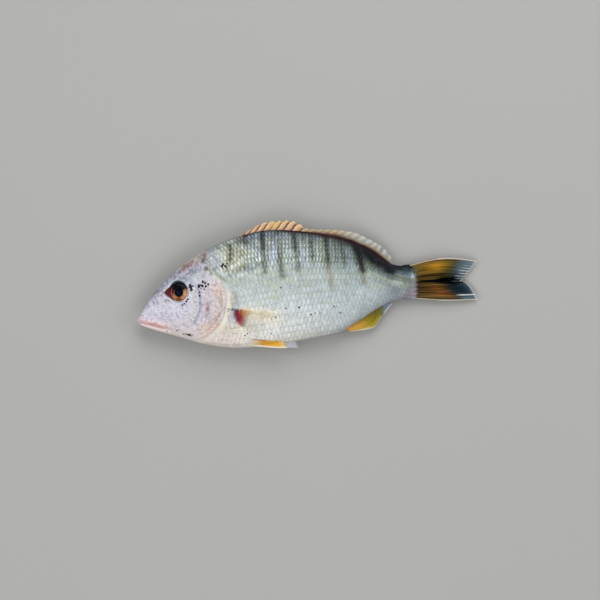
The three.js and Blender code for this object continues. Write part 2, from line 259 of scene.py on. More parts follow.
def gradient(t, stops):
    """Colours along a scale of (place, hex colour) stops."""
    places = [place for place, _ in stops]
    table = np.array([linear(code) for _, code in stops])
    return np.stack([np.interp(t, places, table[:, k]) for k in range(3)], axis=-1)


def cover(tone, code, weight):
    """Lay a colour over a tone, as thickly as weight says."""
    laid = linear(code) if isinstance(code, str) else code
    w = np.clip(weight, 0, 1)[..., None]
    return tone * (1 - w) + laid * w


class Coat:
    """Colours laid one over another, on the body by s and y, and on a fin by u and v."""

    def __init__(self, along, up, tone):
        self.along, self.up, self.tone = along, up, tone

    def lay(self, code, weight):
        self.tone = cover(self.tone, code, weight)

    def patch(self, code, at, up, wide, tall, strength):
        """A soft oval round a point."""
        self.lay(code, spot(self.along, self.up, at, up, wide, tall) * strength)

    def stroke(self, code, start, end, width, strength):
        """A soft straight stroke between two points."""
        self.lay(code, bell(from_line(self.along, self.up, start, end)[0], width) * strength)


# Ground colours by the share of a section's height, from the belly at 0 to the back at 1.
FLANK_FRONT = [(0, "ece6de"), (0.1, "e0e2e0"), (0.3, "d8dedf"), (0.45, "c0c9c8"), (0.56, "bbc4c2"),
               (0.68, "b4c0bc"), (0.8, "adb7b2"), (0.92, "99a5a4"), (1, "6d777a")]
FLANK_REAR = [(0, "b2b9b7"), (0.1, "b9c2c6"), (0.3, "bec9cd"), (0.45, "b0bdbf"), (0.62, "9baaa6"),
              (0.75, "70827e"), (0.9, "425456"), (1, "1a2326")]
PEDUNCLE = [(0, "9aa2a9"), (0.2, "8a979e"), (0.42, "848f8e"), (0.6, "78827a"), (0.7, "64757b"),
            (0.82, "495a64"), (0.9, "18262c"), (1, "0c181d")]
HEAD = [(0, "e0d6d2"), (0.12, "dcd2d5"), (0.3, "d2cedb"), (0.6, "d3d0de"), (0.8, "c9cad7"),
        (0.93, "b0aebc"), (1, "9a9692")]

# Dark bars: top and foot (s, y), half width, strength, colour, and the share that is dark before
# the bar goes on as a brown trace.
BARS = [
    ((68.5, 26.5), (68.8, 12.0), 1.5, 0.7, "45401c", 0.9),
    ((79.4, 34.5), (79.9, 26.0), 1.8, 0.8, "161c1c", 0.9),
    ((91.5, 36.5), (92.8, 20.0), 1.9, 0.75, "141c1e", 0.9),
    ((92.8, 20.0), (94.2, 3.5), 1.7, 0.55, "4a4f30", 0.9),
    ((102.5, 36.0), (104.2, 20.0), 1.5, 0.4, "3a423c", 0.9),
    ((104.2, 20.0), (107.3, -1.5), 1.7, 0.6, "3f453a", 0.85),
    ((114.6, 36.0), (116.8, 19.0), 1.9, 0.7, "1e2628", 0.9),
    ((116.8, 19.0), (118.8, 4.0), 1.5, 0.5, "343c3c", 0.85),
    ((127.0, 34.0), (129.0, 10.0), 1.6, 0.6, "262e2c", 0.8),
    ((137.8, 33.5), (142.6, -10.0), 1.8, 0.75, "1f2726", 0.5),
    ((148.5, 31.0), (152.8, 8.0), 1.6, 0.5, "303a38", 0.8),
    ((156.6, 30.5), (161.2, 23.0), 2.4, 1.1, "060c10", 2.0),
    ((161.2, 23.0), (163.4, 15.5), 2.3, 1.1, "060c10", 2.0),
    ((163.4, 15.5), (165.2, 8.0), 1.8, 1.0, "060c10", 2.0),
    ((165.0, 9.0), (166.6, -4.0), 1.7, 0.8, "2c2c2a", 0.25),
    ((97.5, 36.0), (98.8, 21.0), 1.0, 0.25, "3c4544", 0.9),
    ((121.5, 34.5), (123.0, 20.0), 1.0, 0.25, "3c4544", 0.9),
    ((132.8, 33.5), (134.6, 18.0), 1.0, 0.25, "3c4544", 0.9),
    ((143.6, 31.5), (146.4, 14.0), 1.1, 0.4, "36413e", 0.9),
    ((153.0, 30.0), (157.0, 12.0), 1.0, 0.3, "36413e", 0.9),
]

lateral_line = smooth_through([(56, 3.0), (64.5, 6.5), (83, 12), (101, 15.4), (121, 17.6), (148, 17.2),
                               (165, 14.8), (182, 6.2), (199, 1.4), (207, 0.8)])

# Black specks: s, y and radius, first those on the flank, then those on the head and shoulder.
SPECKS = [
    (105.5, -4.8, 0.6), (109.0, -20.0, 0.6), (118.7, -19.3, 0.7), (101.8, -26.6, 0.6),
    (98.6, -27.7, 0.4), (127.4, -24.4, 0.7), (130.4, -23.4, 0.5), (134.0, -23.4, 0.5),
    (144.3, -18.5, 0.6), (148.6, -22.9, 0.6), (81.3, -38.3, 0.6), (79.2, -39.7, 0.5),
    (98.2, -38.3, 0.5), (115.0, -3.2, 0.4), (112.5, -3.6, 0.35), (88.0, -2.6, 0.4),
    (146.9, -18.4, 0.35), (104.0, -26.9, 0.3), (40.0, -4.4, 1.5), (40.4, -6.1, 1.2), (39.4, -2.9, 0.9),
    (41.5, -3.6, 0.7), (45.9, -4.3, 1.2), (48.8, -0.5, 1.0), (50.5, -1.5, 0.9), (48.3, -3.5, 1.1),
    (50.9, -3.9, 0.9), (52.7, -2.5, 0.8), (46.9, -3.2, 0.8), (45.4, -2.5, 0.6), (47.4, -5.3, 0.6),
    (49.7, -6.1, 0.5), (46.5, -8.1, 0.6), (46.4, -10.7, 0.8), (45.9, -9.3, 0.5), (37.9, -13.4, 0.8),
    (36.7, -15.0, 0.8), (35.2, -16.5, 0.7), (33.9, -17.7, 0.6), (62.7, 10.8, 1.0), (63.6, 12.3, 0.9),
    (66.3, 12.7, 0.7), (64.9, 10.7, 0.8), (66.1, 9.9, 0.5), (63.1, 9.0, 0.5), (67.8, 11.0, 0.4),
    (29.4, -36.1, 0.6), (30.8, -35.7, 0.4), (34.2, -38.7, 0.4), (38.7, -39.3, 1.0), (36.9, -38.9, 0.5),
    (39.7, -40.0, 0.5), (22.4, -36.9, 0.5), (67.3, -20.6, 0.6), (67.1, -22.1, 0.4), (53.8, 7.4, 0.4),
    (55.2, 5.2, 0.35), (57.3, 17.6, 0.5), (60.4, 19.5, 0.45), (23.8, -14.4, 0.5),
]


def patchy(s, y, size, turn=0.0):
    """Soft repeatable patches from 0 to 1, about as wide as size."""
    a, b = s / size + turn, y / size - turn
    return 0.5 + 0.5 * np.sin(1.7 * a + 2 * np.sin(1.1 * b + turn)) * np.cos(1.3 * b + 1.6 * np.sin(0.9 * a))


NAPE = 53  # the station at which the scales of the back begin
WELL_AHEAD = -9  # a distance that counts as on the head


def behind_head(s, y):
    """Distance behind the edge of the gill cover and the nape, negative on the head."""
    gill = np.where(s > GILL_COVER["at"], outside(GILL_COVER, s, y), WELL_AHEAD)
    return lerp(gill, s - NAPE, ramp(-2, 10, y))


def head_mask(s, y):
    """1 on the head, 0 on the scaled body, with the gill cover's edge between them."""
    nape = ramp(-1, 9, y)
    uneven = nape * (patchy(s, y, 3.0, 6) - 0.5)
    return fall(-0.4 - 1.5 * nape, 1.4 + 2.0 * nape, behind_head(s, y) + 3.0 * uneven)


def spot(s, y, at, up, wide, tall):
    return bell(np.hypot((s - at) / wide, (y - up) / tall), 1)


# Soft patches on the flank: colour, s, y, half length, half height and strength.
FLANK_PATCHES = [
    ("cfcda8", 66, 15, 12, 9, 0.6), ("ece2d6", 66, -43, 24, 6, 0.7), ("eedbd3", 60, -44, 13, 4, 0.6),
    ("e9e0c8", 77, -34, 13, 5, 0.75), ("dcc8b0", 62, -35, 6, 4.5, 0.6), ("bfccc8", 129, 21, 18, 9, 0.75),
    ("909ea4", 170, -20, 8, 5, 0.4), ("a7b0ad", 112, 29, 12, 4, 0.5), ("c3cbc8", 134, 3, 19, 7, 0.6),
    ("dcdcc6", 75, 19, 8, 6, 0.6),
]


# Stations over which the front colours of the flank turn into the rear ones, and those into the peduncle's.
TO_REAR, TO_PEDUNCLE = (95, 170), (168, 192)


def flank_ground(s, share):
    """The flank's colours from the belly to the back, which change towards the tail."""
    tone = lerp(gradient(share, FLANK_FRONT), gradient(share, FLANK_REAR), ramp(*TO_REAR, s)[..., None])
    return lerp(tone, gradient(share, PEDUNCLE), ramp(*TO_PEDUNCLE, s)[..., None])


def flank_tone(s, y):
    share = height_share(s, y)
    coat = Coat(s, y, flank_ground(s, share))
    for patch in FLANK_PATCHES:
        coat.patch(*patch)
    paint_glints(coat, share)
    paint_bars(coat)
    paint_crest(coat)
    paint_tail_root(coat)
    paint_collar(coat)
    paint_light_under_fin(coat)
    paint_armpit(coat)
    return coat.tone


def paint_glints(coat, share):
    """Olive, blue and white glints on the back, the pale nape, a painted rim of light along the crest, and
    the lateral line.
    """
    s, y = coat.along, coat.up
    crown = back(s) - y
    middle = bell(share - 0.5, 0.22)
    coat.lay("c0c09a", middle * ramp(0.6, 0.9, patchy(0.8 * s, 2.4 * y, 8, 3)) * 0.3)
    coat.lay("ccd6e0", middle * ramp(0.6, 0.9, patchy(0.7 * s, 2.2 * y, 7, 5)) * 0.3)
    coat.patch("bfc8e2", 100, 22, 5, 9, 0.75)
    coat.patch("aeb9d2", 60, 16, 3, 5, 0.6)
    off_crest = ramp(0.2, 1.8, crown)
    upper = ramp(0.6, 0.75, share) * fall(160, 185, s) * off_crest
    coat.lay("8f9468", upper * ramp(0.62, 0.9, patchy(2.2 * s, 0.5 * y, 9)) * 0.34)
    coat.lay("b3bfd6", upper * ramp(0.66, 0.9, patchy(1.8 * s, 0.5 * y, 8, 2)) * 0.4)
    front = ramp(0.55, 0.68, share) * fall(84, 104, s) * off_crest
    coat.lay("7c7e52", front * ramp(0.6, 0.85, patchy(s, y, 4.4, 1)) * 0.52)
    coat.lay("e6e7df", front * ramp(0.6, 0.85, patchy(s, y, 3.8, 4)) * 0.7)
    coat.lay("5f6a76", front * ramp(0.72, 0.9, patchy(s, y, 3.0, 7)) * 0.5)
    coat.patch("cdd3c8", 62, 19, 6, 5, 0.6)
    coat.patch("d2d8e4", 56.5, 15.5, 3.4, 3.0, 0.75)
    # The crest ahead of the dorsal fin: partly its own pale tone, partly a painted rim of reflected light
    # that also hides its edge shading.
    coat.lay("bcc3c0", bell(crown, 1.8) * fall(72, 80, s) * 0.8)
    line = bell(y - lateral_line(s), 0.8) * lerp(0.35, 1, ramp(140, 165, s)) * ramp(60, 120, s)
    coat.lay("77755a", line * 0.5)


def paint_bars(coat):
    """The dark bars, each with an olive rear edge and a brown trace at its foot."""
    s, y = coat.along, coat.up
    for start, foot, width, strength, code, dark in BARS:
        d, t = from_line(s, y, start, foot)
        core = bell(d + 0.35 * np.sin(y * 1.9 + start[0]), width) * strength
        trace = ramp(dark - 0.12, dark + 0.1, t)
        coat.lay("85844f", bell(d - 1.9, 1.3) * strength * 0.35 * ramp(0.1, 0.4, t) * (1 - trace))
        brown = lerp(linear("716f4e"), linear("8a7868"), ramp(108, 135, start[0]))
        coat.lay(brown, core * trace * fall(0.8, 1, t) * 0.8)
        coat.lay(code, core * 1.35 * (1 - trace))


def paint_crest(coat):
    """Marks along the crest, the black saddle behind them, and maroon under the dorsal fin."""
    s, y = coat.along, coat.up
    crown = back(s) - y
    brow = bell(crown - 3.5, 2.2) * band(76, 82, 100, 150, s)
    coat.lay("a9aecb", brow * ramp(0.45, 0.8, patchy(s, y, 3.2, 1)) * 0.6)
    coat.lay("1c2426", brow * ramp(0.6, 0.9, patchy(s, y, 3.0, 4)) * 0.6)
    coat.patch("737d78", 75.5, 7.8, 3.4, 1.4, 0.6)
    coat.patch("737d78", 84.5, 9.2, 4.6, 1.3, 0.6)
    saddle = bell(crown - 4.2, 5.0) * band(154, 170, 186, 192, s)
    coat.lay("040b10", saddle * (1.0 + 0.5 * patchy(s, y, 3, 2)))
    coat.lay("1b3646", saddle * ramp(0.58, 0.95, patchy(s, 2 * y, 3.4, 5)) * 0.55)
    coat.lay("0b1c26", bell(crown - 1.2, 2.6) * ramp(180, 187, s) * 1.1)
    root = bell(crown, 1.5 + 0.9 * ramp(125, 150, s)) * band(96, 110, 184, 188, s)
    maroon = lerp(linear("3f1a28"), linear("220d16"), ramp(145, 160, s)[..., None])
    coat.lay(maroon, root * (0.8 + 0.5 * patchy(s, y, 3.2, 3)))


def paint_tail_root(coat):
    """Purple and pale blue where the flesh ends."""
    coat.stroke("8c7c88", (196, -12), (205, -4), 3.2, 0.6)
    coat.stroke("a8808e", (200, -11), (205, -7), 1.6, 0.5)
    coat.patch("c2d0de", 202.2, 4.1, 2.0, 2.2, 0.9)


def paint_collar(coat):
    """The cream collar behind the gill cover and the greys between it and the pectoral fin."""
    s, y = coat.along, coat.up
    belt = behind_head(s, y)
    low = band(-40, -32, -12, -2, y)
    coat.lay("e8dccb", bell(belt - 2.6, 2.0) * low * (0.6 + 0.35 * patchy(s, y, 3.6, 2)))
    coat.lay("a98f78", bell(belt - 5.6 + np.sin(0.9 * y), 0.8) * low * 0.5 * patchy(s, y, 4, 1))
    coat.stroke("8e958c", (72.5, -9), (74.5, -18), 1.3, 0.6)
    coat.patch("dfd6ca", 68.4, -14.5, 2.2, 4.6, 0.7)
    coat.patch("97a0a4", 71.5, -17.5, 1.6, 2.2, 0.5)
    coat.patch("c3cdd6", 67.8, -26, 1.8, 3.0, 0.6)


def paint_light_under_fin(coat):
    """Painted light on the flank under the pectoral fin, pale and warm along the fin's upper edge, which
    makes up for the shadow the fin casts there.
    """
    s, y = coat.along, coat.up
    under_fin = bell(from_line(s, y, (80, -26), (100, -29))[0], 5.0)
    # Painted light that makes up for the pectoral fin's shadow on the flank.
    pale = lerp(linear("f8f7f0"), linear("fbf3e0"), ramp(-32, -26, y)[..., None])
    coat.lay(pale, under_fin * 0.9)
    coat.stroke("f2e4ba", (79, -22), (100, -24), 2.2, 0.5)
    coat.stroke("f8eccc", (80, -24), (98, -25.5), 3.0, 0.4)
    coat.patch("eeb898", 79.4, -25.4, 2.2, 4.2, 0.75)
    coat.stroke("e6b480", (77, -22), (81, -22.6), 1.8, 0.75)


def paint_armpit(coat):
    """The dark red patch in the armpit of the pectoral fin, which leans back and ends in rust."""
    s, y = coat.along, coat.up
    middle = 72.3 - 0.26 * (y + 21)
    wide = 5.2 - 0.1 * np.maximum(-21 - y, 0)
    inside = fall(0.6, 1.1, np.hypot((s - middle - 1.6) / wide, (y + 26.6) / 6.8))
    shade = gradient(s - middle, [(-4, "50405a"), (-2.2, "74426a"), (-0.4, "64243c"), (1.8, "901a22"),
                                  (3.4, "a83a2c"), (4.6, "d89058"), (5.6, "ecc49a")])
    coat.lay(shade, inside * 1.2)
    coat.lay("b4525f", inside * fall(-31, -27.5, y) * 0.7)
    coat.stroke("2a1d33", (69.8, -20.6), (74.5, -21.6), 0.9, 1)


def head_tone(s, y):
    share = height_share(s, y)
    coat = Coat(s, y, gradient(share, HEAD))
    coat.lay("948f98", ramp(0.84, 0.95, share) * band(16, 24, 50, 56, s) * 0.5)
    coat.patch("c3cad0", 47, 2, 9, 9, 0.6)
    coat.lay("cfc4c6", ramp(44, 52, s) * fall(-6, 4, y) * 0.8)
    coat.lay("d8cec0", ramp(42, 50, s) * fall(-36, -28, y) * 0.8)
    paint_gill_cover(coat)
    paint_forehead(coat)
    paint_eye_surround(coat)
    paint_lips(coat)
    return coat.tone


# Thin brown folds under the gill cover: start, end and half width.
GILL_FOLDS = [((47.5, -45), (55.5, -35), 1.0), ((52.5, -46), (59, -38), 0.8), ((58, -34), (62.5, -22), 0.9),
              ((55, -30), (60, -24), 0.7)]


def paint_gill_cover(coat):
    """Painted shade in the groove behind the cheek and in the gill slit behind the cover's edge, and the warm
    patches and brown edge of the gill cover.
    """
    s, y = coat.along, coat.up
    cheek = outside(CHEEK_PLATE, s, y)
    low = fall(-6, 0, y)
    broken = 0.45 + 0.75 * patchy(s, y, 3.0)
    middle = ramp(-36, -26, y)
    # Painted shade along the groove behind the cheek plate.
    coat.lay("7d8798", bell(cheek - 0.3, 1.1) * low * ramp(33, 42, s) * middle * 0.9 * broken)
    coat.lay("c6cbb4", bell(cheek + 3.6, 1.8) * low * ramp(33, 42, s) * 0.5 * broken)
    gill = outside(GILL_COVER, s, y)
    rear = ramp(46, 54, s)
    warm = rear * lerp(0.35, 1, ramp(-19, -12, y) + fall(-34, -28, y)) * lerp(1, 0.45, ramp(-10, 1, y))
    coat.lay("dfb49a", bell(gill + 5.2, 3.2) * warm * 0.7 * patchy(s, y, 4.2, 1))
    coat.lay("e2c79c", bell(gill + 2.4, 2.0) * warm * 0.7 * patchy(s, y, 3.1, 2))
    coat.patch("c2c3c6", 54.5, -25, 4.5, 6, 0.7)
    coat.patch("965a68", 52.3, -19.8, 1.3, 4.2, 0.95)
    coat.stroke("b39c8a", (61.5, -13), (62.5, -21), 1.0, 0.6 * broken)
    coat.patch("e6d8d0", 57.5, -16, 2.4, 3, 0.7)
    coat.lay("8a6f55", bell(gill + 2.6, 0.6) * rear * fall(-10, -2, y) * broken * 0.8)
    coat.lay("e4d8d0", bell(gill + 0.8, 1.2) * rear * 0.6 * middle * broken)
    # Painted shade in the gill slit just behind the cover's edge.
    coat.lay("a58f78", bell(gill - 0.6, 0.5) * rear * 0.5 * broken * middle)
    coat.patch("dcb9a4", 58, -35, 6, 6, 0.8 * patchy(s, y, 3.4, 5))
    for start, end, wide in GILL_FOLDS:
        coat.stroke("b08f6e", start, end, wide, 0.45)
    coat.patch("eed0c4", 56, -40, 9, 6, 0.6)


# Strokes on the forehead: colour, start, end, half width and strength.
FOREHEAD_STROKES = [
    ("a5967c", (35, 10.8), (50, 19.0), 1.8, 0.75), ("b9b8cc", (27, 3.5), (45, 9.5), 2.2, 0.55),
    ("96625c", (32.5, 7.6), (44.3, 13.8), 1.5, 0.85), ("6a7592", (36, 4.0), (47, 9.0), 1.1, 0.55),
    ("77889e", (35, -0.5), (39, 1.5), 1.5, 0.6),
]
# Dark spots on the nape: s, y and half width.
NAPE_SPOTS = [(48.9, 14.4, 1.8), (51.4, 9.0, 1.8), (58.7, 21.0, 1.2), (54.5, 11.5, 0.8)]


def paint_forehead(coat):
    """Lilac, tan and red-brown on the forehead, and dark spots on the nape."""
    s, y = coat.along, coat.up
    crown = back(s) - y
    brow = bell(crown - 2.6, 1.8) * band(12, 18, 30, 38, s)
    coat.lay("8c8ca6", brow * (0.35 + 0.6 * patchy(s, y, 3.4, 2)))
    coat.lay("dfdde2", bell(crown - 6.0, 1.4) * band(18, 24, 44, 50, s) * 0.6)
    ridge = bell(crown - 1.0, 1.2) * band(24, 34, 46, 53, s)
    coat.lay("c8b796", ridge * (0.45 + 0.6 * patchy(s, y, 5)) * 0.9)
    for stroke in FOREHEAD_STROKES:
        coat.stroke(*stroke)
    coat.patch("8a6862", 50.4, 18.4, 2.4, 2.6, 0.85)
    coat.patch("b9b4ac", 43, 15.5, 2.5, 2.5, 0.5)
    coat.lay("c6cdd0", bell(crown - 5.0, 2.5) * ramp(50, 53, s) * 0.8)
    coat.lay("9db0bf", bell(outside(EYE, s, y) - 3.2, 1.6) * ramp(-5, 0, y) * 0.65)
    for at, up, wide in NAPE_SPOTS:
        coat.patch("3c4030", at, up, wide, wide, 0.75 + 0.7 * patchy(s, y, 1.6, at))


def paint_eye_surround(coat):
    """Painted shade over the top of the eye and its socket, with a faint painted reflection on it, and the
    blood-red corner in front of the eye.
    """
    ds, dy = coat.along - EYE["at"], coat.up - EYE["y"]
    angle = np.arctan2(dy, ds)
    past_shaded_top = np.hypot(ds, dy) - EYE["shaded_top"]
    turned = np.where(angle < -np.pi / 2, angle + 2 * np.pi, angle)
    shaded_top_rise = 1.25 * bell(angle - 1.65, 0.75)
    shaded_top = fall(-0.6, 0.5, past_shaded_top - shaded_top_rise) * band(0.2, 0.45, 2.6, 3.0, turned)
    corner_reach = 3.4 * np.maximum(0, 1 - np.abs(turned - 3.2) / 0.66) ** 1.3
    red = fall(-0.5, 0.5, past_shaded_top - corner_reach) * band(2.5, 2.75, 3.9, 4.4, turned)
    coat.lay("520009", red * 1.3)
    coat.lay("280004", red * ramp(3.6, 4.0, turned) * 0.6)
    # Painted shade over the upper part of the eye's socket.
    coat.lay("030a0a", shaded_top * 1.3)
    # A faint painted reflection on that shade, towards the rear.
    coat.lay("3a3050", shaded_top * bell(angle - 0.55, 0.3) * 0.6)
    low = np.where(angle < 0, angle + 2 * np.pi, angle)
    coat.lay("3d2c1c", bell(past_shaded_top, 0.5) * band(4.0, 4.4, 4.9, 5.6, low) * 0.7)
    coat.lay("5d3a34", bell(past_shaded_top, 0.4) * fall(0.3, 0.7, np.abs(angle)) * 0.6)


def paint_lips(coat):
    """Pink lips that fade towards the corner of the mouth, with painted shade in the slit between them."""
    s, y = coat.along, coat.up
    (_, start_y), (end_s, end_y) = MOUTH["start"], MOUTH["end"]
    _, t = from_line(s, y, MOUTH["start"], MOUTH["end"])
    above = y - lerp(start_y, end_y, np.clip(s / end_s, 0, 1.2))
    fade = fall(0.72, 1.04, s / end_s + 0.12 * np.sin(2.3 * above + 1))
    coat.lay("f6cfcc", bell(above - 1.4, 1.8) * fade * 1.1)
    coat.lay("dd8488", bell(above - 0.7, 0.9) * fade * ramp(0.1, 0.5, t) * 0.6)
    coat.lay("f0d4d2", bell(above - 2.9, 0.6) * fade * 0.6)
    coat.lay("ead9d4", bell(above + 1.7, 1.2) * fade * 0.9)
    # Painted shade in the slit of the mouth.
    coat.lay("b06a6c", bell(above + 0.1, 0.4) * fade * 0.5)
    coat.stroke("4b4648", (34.5, -38.4), (41, -39.4), 0.7, 0.6)


TAIL_EDGE = dict(at=205.1, middle=-6, curve=0.0115, ripple=0.5)  # where the colours of the fin begin


def onto_tail(tone, s, y):
    """Carry the colours of the tail fin over the end of the flesh, from a rounded edge on."""
    root_up, root_low = TAIL_Y["root_up"] + 1, TAIL_Y["root_low"] - 1
    u = np.clip((root_up - y) / (root_up - root_low), 0.03, 0.97)
    v = np.clip((s - TAIL["root"]) / (TAIL["fork"] + 4 - TAIL["root"]), 0, 1)
    bow = TAIL_EDGE["curve"] * (y - TAIL_EDGE["middle"]) ** 2
    edge = TAIL_EDGE["at"] - bow + TAIL_EDGE["ripple"] * np.sin(1.9 * y)
    return cover(tone, tail_tone(u, v)[0], ramp(-1.5, 1.2, s - edge))


def skin_tone(s, y):
    head = head_mask(s, y)[..., None]
    return onto_tail(lerp(flank_tone(s, y), head_tone(s, y), head), s, y)


# Dark smudges in the mottling of the head: s, y, half length and half height.
SMUDGES = [(22.5, -14.6, 2.6, 1.6), (14.5, -16.4, 2.2, 1.6), (15, -9, 3, 2), (41, 7, 5, 3), (30, 2.5, 5, 1.6)]


def skin_marks(s, y):
    """Strength of the dark smudges, of the mottling, and of the spots on the crown."""
    share = height_share(s, y)
    head = head_mask(s, y)
    off_eye = ramp(8.3, 9.5, np.hypot(s - EYE["at"] + 1.2, y - EYE["y"]))
    smudge = sum(spot(s, y, *place) for place in SMUDGES)
    mottle = head * lerp(0.6, 0.75, ramp(0.68, 0.85, share)) * ramp(0.05, 0.16, share)
    crown = head * ramp(0.7, 0.84, share) * ramp(14, 24, s) * lerp(1, 0.5, ramp(32, 42, s))
    return np.stack([np.minimum(smudge, 1), mottle * off_eye, crown * off_eye], axis=-1)


# ---- Meshes and node trees ----


def in_frame(s, y, z):
    """Points of the part's frame, in metres."""
    s, y, z = np.broadcast_arrays(np.asarray(s, float), y, z)
    return np.stack([s + NOSE_X, y + TAIL_AXIS_Y, z], axis=-1) * MM


def measures(mesh):
    """s, y and z of every vertex of a mesh, in millimetres."""
    points = np.empty(len(mesh.vertices) * 3)
    mesh.vertices.foreach_get("co", points)
    x, y, z = points.reshape(-1, 3).T / MM
    return x - NOSE_X, y - TAIL_AXIS_Y, z


def link_object(name, data):
    made = bpy.data.objects.new(name, data)
    bpy.context.scene.collection.objects.link(made)
    return made


def line_object(name, points, edges):
    mesh = bpy.data.meshes.new(name)
    mesh.from_pydata(points.tolist(), edges, [])
    return link_object(name, mesh)


def mesh_object(name, points, faces, material=None):
    mesh = bpy.data.meshes.new(name)
    mesh.from_pydata(np.reshape(points, (-1, 3)).tolist(), [], faces)
    mesh.validate()
    mesh.shade_smooth()
    if material is not None:
        mesh.materials.append(material)
    return link_object(name, mesh)


def set_colour(mesh, name, values):
    """Store a colour for each vertex, with alpha 1."""
    colours = np.ones((len(mesh.vertices), 4))
    colours[:, :3] = values
    layer = mesh.attributes.new(name, "FLOAT_COLOR", "POINT")
    layer.data.foreach_set("color", colours.ravel())


def set_value(mesh, name, values):
    layer = mesh.attributes.new(name, "FLOAT", "POINT")
    layer.data.foreach_set("value", np.ravel(values))


def set_vector(mesh, name, values):
    layer = mesh.attributes.new(name, "FLOAT_VECTOR", "POINT")
    layer.data.foreach_set("vector", np.ravel(values))


def grid_faces(rows, columns, wrap=False):
    """Quads between the points of a grid, given row by row, with each row closed on itself by wrap."""
    i, j = np.meshgrid(np.arange(rows - 1), np.arange(columns if wrap else columns - 1), indexing="ij")
    along = (j + 1) % columns
    quads = [i * columns + j, (i + 1) * columns + j, (i + 1) * columns + along, i * columns + along]
    return np.stack(quads, axis=-1).reshape(-1, 4).tolist()


def unit(vectors):
    return vectors / np.maximum(np.linalg.norm(vectors, axis=-1, keepdims=True), 1e-12)


def grid_rim(rows, columns):
    """The outer points of a grid, in turn."""
    rim = list(range(columns)) + [i * columns + columns - 1 for i in range(1, rows)]
    rim += [(rows - 1) * columns + j for j in range(columns - 2, -1, -1)]
    return rim + [i * columns for i in range(rows - 2, 0, -1)]


def face_out(piece):
    """Turn the faces of a closed mesh outwards."""
    work = bmesh.new()
    work.from_mesh(piece.data)
    bmesh.ops.recalc_face_normals(work, faces=work.faces)
    work.to_mesh(piece.data)
    work.free()
    piece.data.shade_smooth()


class NodeTree:
    """A node tree, put together one node at a time."""

    def node(self, kind, inputs=None, **settings):
        """Add a node, set it up, connect or fill in its inputs, and give its outputs."""
        made = self.tree.nodes.new(kind)
        for key, value in settings.items():
            setattr(made, key, value)
        for key, value in (inputs or {}).items():
            if isinstance(value, bpy.types.NodeSocket):
                self.tree.links.new(value, made.inputs[key])
            else:
                made.inputs[key].default_value = value
        return made.outputs

    def math(self, operation, *values):
        return self.node("ShaderNodeMath", dict(enumerate(values)), operation=operation)[0]

    def times(self, first, second):
        return self.math("MULTIPLY", first, second)


class Growth(NodeTree):
    """A geometry node tree with named inputs."""

    def __init__(self, name, **inputs):
        self.tree = bpy.data.node_groups.new(name, "GeometryNodeTree")
        for label, kind in inputs.items():
            self.tree.interface.new_socket(label, in_out="INPUT", socket_type="NodeSocket" + kind)
        self.tree.interface.new_socket("Geometry", in_out="OUTPUT", socket_type="NodeSocketGeometry")
        self.given = self.tree.nodes.new("NodeGroupInput").outputs

    def add(self, *vectors):
        return self.node("ShaderNodeVectorMath", dict(enumerate(vectors)), operation="ADD")[0]

    def scale(self, vector, factor):
        return self.node("ShaderNodeVectorMath", {0: vector, "Scale": factor}, operation="SCALE")[0]

    def place(self):
        return self.node("GeometryNodeInputPosition")[0]

    def named(self, name, kind="FLOAT_VECTOR"):
        return self.node("GeometryNodeInputNamedAttribute", {"Name": name}, data_type=kind)[0]

    def random(self, kind="FLOAT", **inputs):
        inputs["Seed"] = self.given["Seed"]
        return self.node("FunctionNodeRandomValue", inputs, data_type=kind)["Value"]

    def store(self, flow, name, value, kind="FLOAT_VECTOR", domain="POINT"):
        inputs = {"Geometry": flow, "Name": name, "Value": value}
        return self.node("GeometryNodeStoreNamedAttribute", inputs, data_type=kind, domain=domain)[0]

    def finish(self, flow, material):
        flow = self.node("GeometryNodeRealizeInstances", {"Geometry": flow})[0]
        flow = self.node("GeometryNodeSetMaterial", {"Geometry": flow, "Material": material})[0]
        self.tree.links.new(flow, self.tree.nodes.new("NodeGroupOutput").inputs[0])
        return self.tree


def grow(base, tree, values, name):
    """Run a geometry node tree on an object and keep the result as a plain mesh object."""
    modifier = base.modifiers.new(tree.name, "NODES")
    modifier.node_group = tree
    sockets = {item.name: item.identifier for item in tree.interface.items_tree if item.in_out == "INPUT"}
    for label, value in values.items():
        modifier[sockets[label]] = value
    evaluated = base.evaluated_get(bpy.context.evaluated_depsgraph_get())
    mesh = bpy.data.meshes.new_from_object(evaluated)
    mesh.name = name
    base.modifiers.remove(modifier)
    bpy.data.objects.remove(base)
    return link_object(name, mesh)


def hand_over(piece, slot, *nodes):
    """Let a finished piece ride on the fish and stand for its solids."""
    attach(piece, BODY)
    if nodes:
        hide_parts(*nodes)


# ---- Materials ----

FIRST_COLOUR, SECOND_COLOUR, MIXED_COLOUR = 6, 7, 2  # sockets of the mix node
NOISE_RANGE = (0.3, 0.7)  # where most of a noise's values lie


